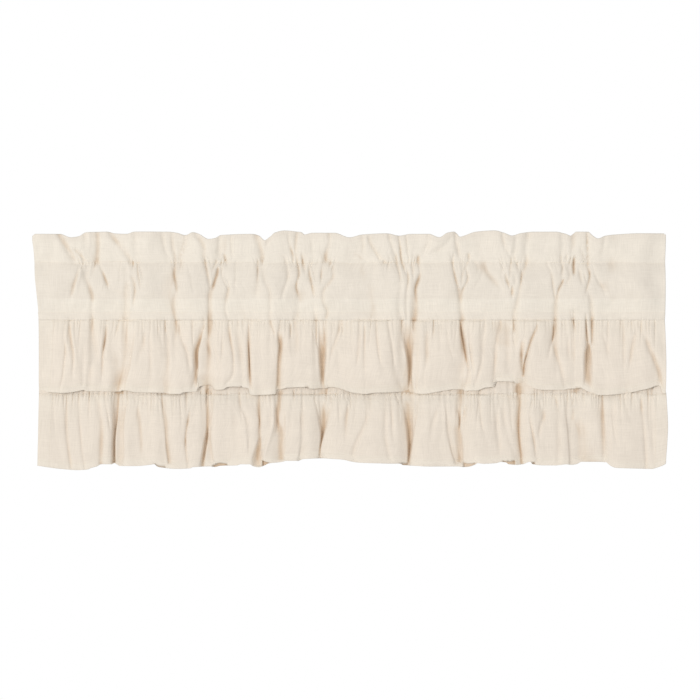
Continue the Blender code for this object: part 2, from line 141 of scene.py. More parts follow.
def relief(x, drop, creases):
    """How far the cloth lies back at each point because of its creases.

    A row of the table is (kind, width, place, ...), and a place is (x, drop, depth), with a
    width of its own where that changes on the way. A depth below 0 makes a ridge. Across its
    line a crease falls off as exp(-(away / (CORE * side)) ** square), with "away" rounded near
    the line, plus a wide soft bell. Troughs are added as (sum of depth ** BLEND) ** (1 / BLEND),
    and so are ridges, which then come off.
    """
    sums = {1: np.zeros(x.shape), -1: np.zeros(x.shape)}
    for kind, wide, *places in creases:
        left, right, soft, square = KINDS[kind]
        across, drops, depths, wides = crease_places(wide, places)
        reach = BELL_ENDS * SHOULDER_WIDTH * max(left, right) * wides.max()
        near = (x > across.min() - reach) & (x < across.max() + reach)
        near &= (drop > drops[0] - FADE) & (drop < drops[-1] + FADE)
        here = drop[near]
        lean = line_of(drops, across, here + 0.5) - line_of(drops, across, here - 0.5)
        size = smooth_read(drops, wides, here) * np.hypot(1.0, lean)
        aside = (x[near] - line_of(drops, across, here)) / size
        side = left + (right - left) * ramp(0.5 + aside / (2.0 * TURN))
        away = np.sqrt(aside ** 2 + soft ** 2) - soft
        bell = (1.0 - SHOULDER) * np.exp(-(away / (CORE * side)) ** square)
        bell += SHOULDER * np.exp(-(aside / (SHOULDER_WIDTH * side)) ** 2)
        ends = ramp((here - drops[0]) / FADE + 1.0) * ramp((drops[-1] - here) / FADE + 1.0)
        depth = smooth_read(drops, depths, here) * bell * ends
        sums[1 if depths.sum() > 0 else -1][near] += np.abs(depth) ** BLEND
    return sums[1] ** (1.0 / BLEND) - sums[-1] ** (1.0 / BLEND)


SEAM_DEEP = 3.2       # mm, the most that a seam follows the creases of the ruffle sewn to it


def seam_relief(x, drop, creases):
    """The creases of a ruffle as its seam takes part in them: SEAM_DEEP * tanh of their share."""
    return SEAM_DEEP * np.tanh(np.maximum(relief(x, drop, creases), 0.0) / SEAM_DEEP)


# %% [markdown]
# ## Unevenness that nobody places by hand
#
# Two things are too many to place one by one. Cloth that was folded in a bag keeps a faint
# rumple, which a sum of long waves in all directions gives. And a line of stitches that draws
# cloth together starts fine pleats, which run out above and below it. They come from a generator
# with a fixed seed, so each run of the script makes the same cloth.

# %% Rumple and fine pleats
SINES = 14            # waves in a rumple
WAVE_RANGE = (0.6, 1.8)         # how many times the rumple's own length each of them is
RUMPLES = {           # mm from wave to wave, mm high, and the seed
    "swells": (75.0, 1.6, 13),
    "lay": (48.0, 0.6, 11),
    "crumple": (13.0, 0.1, 12),
    "sway": (60.0, 0.9, 15),
    "panel": (60.0, 0.4, 17),
}


def rumple(x, drop, length, height, seed):
    """Long faint waves: the sum of SINES sines of about that length, each in its own direction."""
    pick = np.random.default_rng(seed)
    total = np.zeros(np.broadcast(x, drop).shape)
    for _ in range(SINES):
        angle = pick.uniform(0.0, np.pi)
        wave = length * pick.uniform(*WAVE_RANGE)
        along = x * np.cos(angle) + drop * np.sin(angle)
        total += np.sin(2.0 * np.pi * along / wave + pick.uniform(0.0, 2.0 * np.pi))
    return height * total / np.sqrt(0.5 * SINES)


class Pleats(NamedTuple):
    """Many small pleats along one seam: arrays with a value for each of them, mm."""

    at: np.ndarray      # x where it crosses the seam
    lean: np.ndarray    # how far it moves right for each mm further down
    deep: np.ndarray
    half: np.ndarray    # half its width at the seam
    above: np.ndarray   # how far it runs above the seam
    below: np.ndarray   # and below it


def pick_pleats(places, leans, seed, deep, half, above, below):
    """Pleats at those places. Each pair is a smallest and a largest value to pick between."""
    pick = np.random.default_rng(seed)
    picked = (pick.uniform(*pair, len(places)) for pair in (deep, half, above, below))
    return Pleats(np.asarray(places), np.asarray(leans), *picked)


def places_along(start, end, spacing, lean, seed):
    """Places from start to end, a random step apart, each with a random lean."""
    pick = np.random.default_rng(seed)
    steps = pick.uniform(*spacing, int((end - start) / spacing[0]))
    places = start + np.cumsum(steps)
    places = places[places < end]
    return places, pick.uniform(-lean, lean, len(places))


PLEAT_SQUARE = 1.4    # how square a pleat is across
WIDENS = 0.03         # mm that its half width grows by for each mm off the seam
SIDES_END = 5.0       # half widths to its side, and
RUN_ENDS = 2.2        # runs up or down, past which it no longer counts


def pleat_depth(x, from_seam, pleats):
    """Depth of all those pleats at points from_seam mm below the seam, or above it if negative.

    A pleat is deep * exp(-(aside / half) ** PLEAT_SQUARE - (from_seam / run) ** 2), where half
    grows a little on the way and run is its own length on that side of the seam.
    """
    total = np.zeros(x.shape)
    for at, lean, deep, half, above, below in zip(*pleats):
        reach = SIDES_END * half + RUN_ENDS * abs(lean) * max(above, below)
        near = np.abs(x - at) < reach
        near &= (from_seam < RUN_ENDS * below) & (from_seam > -RUN_ENDS * above)
        down = from_seam[near]
        aside = x[near] - at - lean * down
        run = np.where(down < 0.0, above, below)
        wide = half + WIDENS * np.abs(down)
        fall = np.abs(aside / wide) ** PLEAT_SQUARE
        total[near] += (deep * np.exp(-fall - (down / run) ** 2)) ** BLEND
    return total ** (1.0 / BLEND)


# %% [markdown]
# ## A grid that has as many threads on a steep side as on a flat one
#
# A sheet's columns are its up-and-down threads. Gathering doesn't stretch cloth, so the threads
# keep their distance along the wave and look closer together only from the front. The columns
# are therefore spaced along each row's own length. The way up and down a fold's sides counts
# double in that length, which puts more columns where the cloth turns sharply.

# %% Columns spaced along the cloth, and a row's shift along its normal
FINE = 3200           # places at which a row is first read, to measure its length
STEEP = 2.0           # how much more a step back or forth counts than a step to the side
EVENED = 12           # times that the places are averaged with those of the rows beside


def lay_columns(ends, depth_of, drops_of, count):
    """x of every column on every row, spaced along the row's own wavy length, and that length.

    ends is (left, right), an x for each row. depth_of(x, drop) gives the wave, drops_of(x)
    each row's drop. A step's length is hypot(its x, STEEP * its y). The places are then
    smoothed a little from row to row.
    """
    left, right = ends
    across = np.linspace(0.0, 1.0, FINE)
    x = left[:, None] + (right - left)[:, None] * across
    y = depth_of(x, drops_of(x))
    sideways, back = np.diff(x, axis=1), np.diff(y, axis=1)
    steps = np.hypot(sideways, STEEP * back)
    walked = np.concatenate([np.zeros((len(x), 1)), np.cumsum(steps, axis=1)], axis=1)
    even = np.linspace(0.0, 1.0, count)
    columns = np.array([np.interp(even * way[-1], way, row) for way, row in zip(walked, x)])
    for _ in range(EVENED):
        inner = 0.25 * columns[:-2] + 0.5 * columns[1:-1] + 0.25 * columns[2:]
        columns = np.concatenate([columns[:1], inner, columns[-1:]])
    columns[:, 0], columns[:, -1] = left, right
    return columns, float(np.hypot(sideways, back).sum(axis=1).mean())


def shift_along_normal(x, y, distance):
    """Offset of wavy rows as seen from above. Positive distances go back, towards +Y."""
    slope_x = np.gradient(x, axis=1)
    slope_y = np.gradient(y, axis=1)
    length = np.hypot(slope_x, slope_y)
    return x - distance * slope_y / length, y + distance * slope_x / length


# %% [markdown]
# ## The heading: its creases
#
# The heading is one cloth, folded over at the top edge. Where it is drawn together on the rod it
# pinches at the header's seam, and creases run from each pinch up into the frill and down over
# the pocket, often sideways. Most are soft; a few are deep enough to part the cloth into lobes.

# %% The heading's measures and creases
HEADER_SEAM, POCKET_SEAM, HEADING_EDGE = 57.0, 143.0, 157.0     # drops
LEFT_END = ((10, 29, 78, 105, 150, 157), (-551, -549, -546, -543, -540, -540))  # drops, then x
RIGHT_END = ((10, 57, 143, 157), (548, 547, 547, 546))
TOP_EDGE = (          # x and drop of places on the folded edge
    (-551, 11), (-546, 7), (-504, 7), (-484, 13), (-470, 11), (-458, 4), (-421, 3),
    (-409, 6), (-387, 7), (-373, 3), (-317, 3), (-300, 5), (-286, 9), (-272, 4),
    (-262, 7), (-245, 16), (-233, 14), (-224, 9), (-169, 7), (-158, 10), (-148, 18),
    (-139, 12), (-131, 5), (-113, 1), (-91, 3), (-84, 4), (-79, 8), (-65, 5), (-27, 5),
    (-1, 13), (22, 8), (63, 6), (86, 10), (105, 7), (136, 7), (155, 13), (169, 5),
    (181, 3), (191, 12), (198, 10), (219, 3), (250, 1), (267, 5), (281, 10), (295, 6),
    (319, 3), (356, 3), (375, 7), (383, 10), (392, 3), (413, 3), (420, 9), (430, 15),
    (444, 10), (461, 8), (503, 6), (544, 6), (548, 9),
)
HEADING_CREASES = (
    ("band", 1, (-506, 6, 7), (-497, 18, 7), (-489, 35, 6), (-481, 48, 5), (-477, 57, 2)),
    ("dip", 0.8, (-484, 32, 2), (-473, 37, 5), (-465, 45, 5), (-461, 53, 5)),
    ("line", 1, (-461, 53, 3), (-464, 61, 4), (-465, 68, 1)),
    ("line", 0.8, (-460, 58, 3), (-464, 70, 1)),
    ("dip", 1, (-469, 62, 2), (-473, 80, 3), (-478, 95, 3.5), (-482, 110, 3), (-484, 118, 1)),
    ("dip", 1, (-466, 72, -1.5), (-471, 90, -2), (-477, 110, -1)),
    ("dip", 1.3, (-459, 62, 2), (-459, 80, 3), (-453, 95, 3.5), (-448, 108, 5), (-446, 118, 4.5),
     (-447, 130, 2.5), (-448, 157, 4)),
    ("line", 1, (-455, 62, 2.5), (-454, 78, 1)),
    ("band", 0.8, (-460, 8, 2), (-459, 32, 1)),
    ("dip", 1, (-453, 8, -1.5), (-451, 28, -1)),
    ("dip", 1.3, (-438, 7, 3), (-437, 30, 3.5), (-439, 44, 4), (-440, 52, 5), (-437, 60, 3)),
    ("line", 1.2, (-438, 56, 3), (-430, 70, 3), (-426, 80, 6), (-422, 92, 6), (-417, 102, 2)),
    ("band", 1, (-417, 100, 2), (-407, 109, 2.5), (-397, 112, 1)),
    ("dip", 1.5, (-418, 5, 4), (-410, 14, 4.5), (-395, 32, 4), (-385, 45, 3.5), (-377, 58, 3)),
    ("band", 1, (-373, 6, 3), (-372, 30, 2.5), (-372, 49, 2.5)),
    ("line", 1, (-397, 57, 1.5), (-399, 70, 2), (-399, 92, 1)),
    ("line", 1, (-369, 58, 4), (-367, 75, 5), (-364, 92, 4), (-362, 102, 1.5)),
    ("line", 1, (-367, 61, 4), (-361, 75, 4), (-358, 88, 1.5)),
    ("band", 1, (-388, 66, 2), (-388, 90, 2)),
    ("line", 1.3, (-382, 79, 2), (-376, 84, 5), (-373, 95, 5), (-372, 106, 5), (-374, 118, 3.5),
     (-375, 132, 2)),
    ("dip", 1, (-380, 95, -1.5), (-380, 140, -1.5)),
    ("band", 1, (-386, 92, 3), (-388, 110, 4.5), (-388, 130, 4), (-389, 157, 5)),
    ("dip", 1.3, (-326, 9, 2.5), (-322, 30, 2.5), (-317, 45, 2), (-315, 57, 1)),
    ("dip", 1, (-309, 9, 2.5), (-307, 35, 3), (-303, 50, 3), (-303, 65, 3), (-305, 75, 3)),
    ("line", 1.2, (-304, 62, 2), (-305, 76, 5), (-303, 88, 6.5), (-300, 100, 6), (-300, 111, 2)),
    ("dip", 1.3, (-300, 108, 2), (-305, 120, 3), (-306, 130, 3), (-303, 157, 3.5)),
    ("dip", 1.2, (-284, 9, 3), (-288, 30, 3), (-294, 45, 3), (-296, 55, 3), (-291, 61, 3),
     (-290, 70, 1)),
    ("line", 1, (-281, 68, 1.5), (-276, 80, 2), (-274, 95, 2), (-270, 108, 1)),
    ("band", 0.9, (-269, 6, 4.5), (-259, 17, 5), (-253, 32, 4), (-252, 48, 3.5)),
    ("line", 1.2, (-252, 48, 4), (-251, 58, 5), (-248, 72, 5), (-245, 88, 5.5), (-242, 100, 4)),
    ("line", 1.5, (-229, 68, 5), (-232, 82, 8), (-236, 95, 8), (-239, 103, 3)),
    ("band", 0.9, (-241, 100, 3), (-243, 115, 4.5), (-243, 130, 5), (-243, 161, 6)),
    ("line", 1, (-245, 112, 4), (-245, 161, 5)),
    ("band", 0.8, (-226, 9, 3), (-227, 35, 3), (-228, 48, 2)),
    ("line", 1.2, (-206, 12, 2), (-205, 40, 2.5), (-204, 50, 1.5)),
    ("line", 1.2, (-218, 46, 4), (-215, 52, 6), (-214, 62, 2)),
    ("line", 1.2, (-231, 55, 5), (-235, 62, 5), (-238, 70, 1.5)),
    ("line", 1, (-223, 58, 3), (-223, 76, 3.5), (-218, 90, 3), (-213, 98, 3), (-210, 103, 4)),
    ("dip", 1, (-210, 101, 4.5), (-212, 112, 4), (-215, 125, 3), (-216, 140, 2.5),
     (-212, 152, 1.5)),
    ("line", 1, (-221, 78, 2.5), (-213, 86, 2.5), (-209, 95, 2.5), (-209, 102, 1.5)),
    ("line", 1, (-198, 58, 2), (-198, 80, 2), (-200, 105, 1)),
    ("band", 1, (-163, 8, 5), (-158, 22, 5), (-154, 38, 4.5), (-152, 48, 4)),
    ("line", 1.5, (-153, 48, 4), (-151, 53, 5), (-153, 58, 2)),
    ("line", 1, (-160, 54, 3), (-160, 70, 5), (-160, 92, 3)),
    ("band", 0.8, (-160, 88, 2.5), (-161, 110, 3), (-162, 118, 1)),
    ("band", 0.8, (-138, 12, 3), (-144, 25, 2.5), (-147, 42, 1)),
    ("dip", 1.3, (-150, 60, 2), (-150, 75, 3), (-147, 88, 3), (-140, 100, 3.5), (-138, 115, 3.5),
     (-138, 130, 3), (-139, 154, 3)),
    ("dip", 1, (-112, 50, 2.5), (-109, 65, 4), (-107, 80, 4), (-110, 95, 2.5), (-116, 108, 3),
     (-117, 120, 1)),
    ("line", 1.3, (-107, 10, 2), (-104, 30, 2.5), (-99, 42, 5), (-98, 52, 4)),
    ("dip", 1, (-92, 7, 3.5), (-94, 25, 3.5), (-94, 45, 2.5)),
    ("line", 1.2, (-94, 44, 3), (-92, 58, 4), (-89, 68, 6), (-88, 78, 6), (-91, 88, 4),
     (-94, 95, 6), (-93, 104, 6), (-89, 113, 3)),
    ("band", 1, (-89, 112, 2), (-90, 130, 2.5), (-93, 150, 3), (-97, 161, 3.5)),
    ("line", 1.3, (-83, 46, 3), (-82, 56, 6), (-79, 68, 4), (-77, 78, 1)),
    ("line", 1, (-68, 60, 2.5), (-64, 72, 3), (-61, 85, 2.5), (-60, 92, 1)),
    ("line", 1.3, (-72, 62, 3), (-70, 78, 5), (-67, 90, 7), (-65, 100, 7), (-62, 114, 3)),
    ("band", 0.7, (-62, 130, 1), (-59, 161, 5)),
    ("dip", 1, (-66, 20, 1.5), (-65, 46, 1)),
    ("dip", 1.2, (-36, 8, 2.5), (-35, 25, 2.5), (-40, 35, 3), (-43, 43, 4.5), (-42, 52, 5)),
    ("dip", 1, (-41, 53, 4), (-33, 58, 3.5), (-29, 68, 3.5), (-28, 80, 4), (-33, 90, 3),
     (-40, 97, 3), (-46, 105, 4), (-47, 118, 4), (-45, 130, 4), (-40, 137, 3.5), (-37, 142, 3),
     (-42, 152, 4)),
    ("line", 1, (-46, 56, 2), (-49, 68, 3), (-50, 80, 5), (-50, 90, 2)),
    ("line", 1, (5, 42, 1), (20, 48, 2), (31, 52, 1.5)),
    ("band", 0.7, (22, 10, 2), (24, 30, 2), (24, 45, 1)),
    ("dip", 1, (28, 14, -1.5), (28, 42, -1)),
    ("dip", 1, (32, 14, 2), (38, 28, 3), (46, 40, 3), (52, 49, 3)),
    ("line", 1.2, (51, 48, 3), (55, 54, 5), (62, 58, 5), (71, 60, 2)),
    ("dip", 1, (38, 58, 1.5), (40, 70, 1.5), (38, 85, 1)),
    ("dip", 1, (67, 9, 3), (72, 25, 3), (77, 38, 3), (80, 48, 4)),
    ("line", 1.2, (80, 46, 5), (81, 57, 6), (84, 66, 4), (87, 80, 3.5), (87, 92, 2)),
    ("band", 1, (87, 95, 2.5), (87, 115, 3), (86, 130, 3), (90, 161, 4.5)),
    ("line", 1.2, (84, 10, 2.5), (87, 28, 4.5), (88, 42, 6), (90, 56, 7), (94, 67, 4),
     (98, 80, 1.5)),
    ("line", 1, (97, 12, 2), (100, 35, 2.5), (103, 56, 1)),
    ("line", 1.2, (99, 70, 3), (101, 80, 6), (101, 90, 5), (99, 105, 3)),
    ("dip", 1.2, (99, 100, 3), (98, 125, 3), (99, 154, 3)),
    ("band", 0.8, (137, 8, 3.5), (137, 20, 3.5), (131, 36, 3), (126, 47, 1)),
    ("line", 1.5, (119, 48, 5), (118, 55, 6), (120, 64, 3), (122, 72, 2.5), (121, 80, 5),
     (117, 90, 8), (114, 96, 9), (113, 105, 8), (115, 124, 5)),
    ("band", 1, (113, 118, 4.5), (112, 140, 6), (112, 161, 7)),
    ("line", 1, (108, 62, 2.5), (110, 85, 2)),
    ("band", 0.9, (176, 14, 2.5), (165, 28, 3), (155, 35, 3), (143, 41, 2), (134, 45, 1)),
    ("dip", 1.2, (183, 7, 3.5), (184, 20, 4), (187, 32, 4.5), (189, 42, 4), (189, 52, 2)),
    ("line", 1.2, (180, 46, 4), (178, 55, 5), (179, 65, 3), (181, 75, 5), (184, 90, 6.5),
     (188, 104, 5)),
    ("dip", 1.4, (188, 104, 5), (191, 117, 5.5), (191, 130, 4), (194, 145, 4.5), (196, 161, 5.5)),
    ("line", 1.3, (206, 44, 5), (206, 53, 3)),
    ("line", 1, (205, 57, 3), (198, 68, 3.5), (195, 78, 3), (193, 94, 1.5)),
    ("line", 1.2, (201, 71, 3), (205, 80, 4), (204, 90, 4), (199, 98, 3), (194, 103, 5),
     (193, 115, 4)),
    ("dip", 1, (211, 53, 1.5), (219, 58, 2), (222, 65, 2), (222, 74, 1)),
    ("band", 0.9, (232, 60, 2), (238, 73, 3), (247, 85, 3.5), (255, 95, 3), (263, 105, 1.5)),
    ("dip", 1, (228, 65, 1.5), (229, 80, 1.5), (222, 92, 1.5), (215, 100, 1)),
    ("dip", 1, (264, 9, 2.5), (267, 25, 3), (272, 36, 2.5), (280, 47, 2)),
    ("band", 0.9, (288, 9, 3), (287, 30, 3), (284, 45, 4), (281, 52, 3)),
    ("line", 1.2, (281, 50, 3.5), (278, 62, 4), (277, 80, 3)),
    ("line", 1, (285, 50, 4), (288, 58, 4), (292, 64, 3), (293, 72, 1)),
    ("dip", 1, (265, 66, 2), (263, 78, 2.5), (265, 90, 1.5)),
    ("line", 1.3, (269, 80, 5), (273, 91, 7), (277, 100, 3)),
    ("line", 1.5, (281, 100, 5), (281, 108, 7), (281, 117, 2)),
    ("dip", 1, (283, 76, 1.5), (287, 86, 2.5), (285, 98, 1.5)),
    ("band", 0.9, (309, 9, 3), (306, 30, 2.5), (304, 45, 2)),
    ("dip", 1, (306, 46, 3.5), (307, 52, 4), (303, 66, 3.5), (299, 76, 4)),
    ("line", 1.2, (298, 73, 5), (297, 82, 6.5), (296, 92, 4.5), (294, 104, 3)),
    ("band", 0.8, (294, 100, 3), (292, 115, 3.5), (289, 130, 4), (286, 145, 4.5), (285, 161, 5)),
    ("line", 1.2, (341, 58, 2), (347, 70, 2.5), (350, 79, 4), (351, 92, 4), (353, 105, 3.5),
     (355, 117, 3)),
    ("band", 1.1, (368, 8, 3.5), (369, 30, 3.5), (368, 44, 3)),
    ("line", 1.3, (366, 46, 4), (367, 54, 4), (369, 64, 3.5), (368, 76, 3), (366, 90, 2)),
    ("line", 1.2, (370, 90, 6), (364, 98, 6), (360, 109, 4), (358, 118, 3)),
    ("dip", 1.4, (358, 116, 3.5), (356, 135, 3.5), (357, 161, 4.5)),
    ("dip", 1, (379, 62, 2), (382, 82, 2.5), (377, 92, 2.5), (370, 98, 1)),
    ("band", 0.9, (388, 9, 3), (387, 30, 3), (384, 43, 1.5)),
    ("line", 1, (376, 46, 4), (376, 52, 4)),
    ("line", 1, (385, 50, 4), (380, 56, 4)),
    ("line", 1.2, (389, 50, 6), (388, 58, 9), (388, 74, 8)),
    ("line", 1, (400, 36, 2), (405, 46, 2.5), (407, 58, 1.5)),
    ("line", 1.3, (411, 8, 4), (412, 22, 5.5), (413, 40, 3.5)),
    ("line", 1.3, (413, 46, 5), (413, 56, 6), (413, 66, 2)),
    ("line", 1.2, (414, 66, 3), (416, 76, 6), (415, 86, 6), (412, 94, 5), (410, 104, 4.5),
     (408, 114, 2)),
    ("dip", 1, (398, 73, 3.5), (400, 85, 3.5), (403, 95, 1)),
    ("line", 1, (405, 75, 2), (409, 88, 2.5), (411, 95, 2)),
    ("band", 0.8, (412, 106, 3), (417, 120, 4), (419, 135, 4.5), (420, 161, 6)),
    ("dip", 1, (410, 103, 2), (405, 117, 1)),
    ("dip", 1, (421, 68, 2), (428, 85, 2.5), (436, 98, 2.5), (443, 112, 1)),
    ("band", 0.8, (442, 10, 2.5), (440, 30, 2.5), (437, 47, 1.5)),
    ("dip", 1, (463, 85, 1), (475, 98, 1)),
    ("line", 1, (383, 143, 2), (386, 161, 4)),
    ("line", 1, (388, 143, 3), (388, 161, 5)),
    ("line", 1, (410, 147, 2), (409, 161, 4)),
    ("line", 1, (-443, 56, 5), (-442, 61, 3)),
    ("line", 1, (-377, 57, 5), (-376, 62, 3)),
    ("line", 1, (-42, 50, 5), (-42, 54, 5)),
)
print("creases of the heading:", len(HEADING_CREASES))

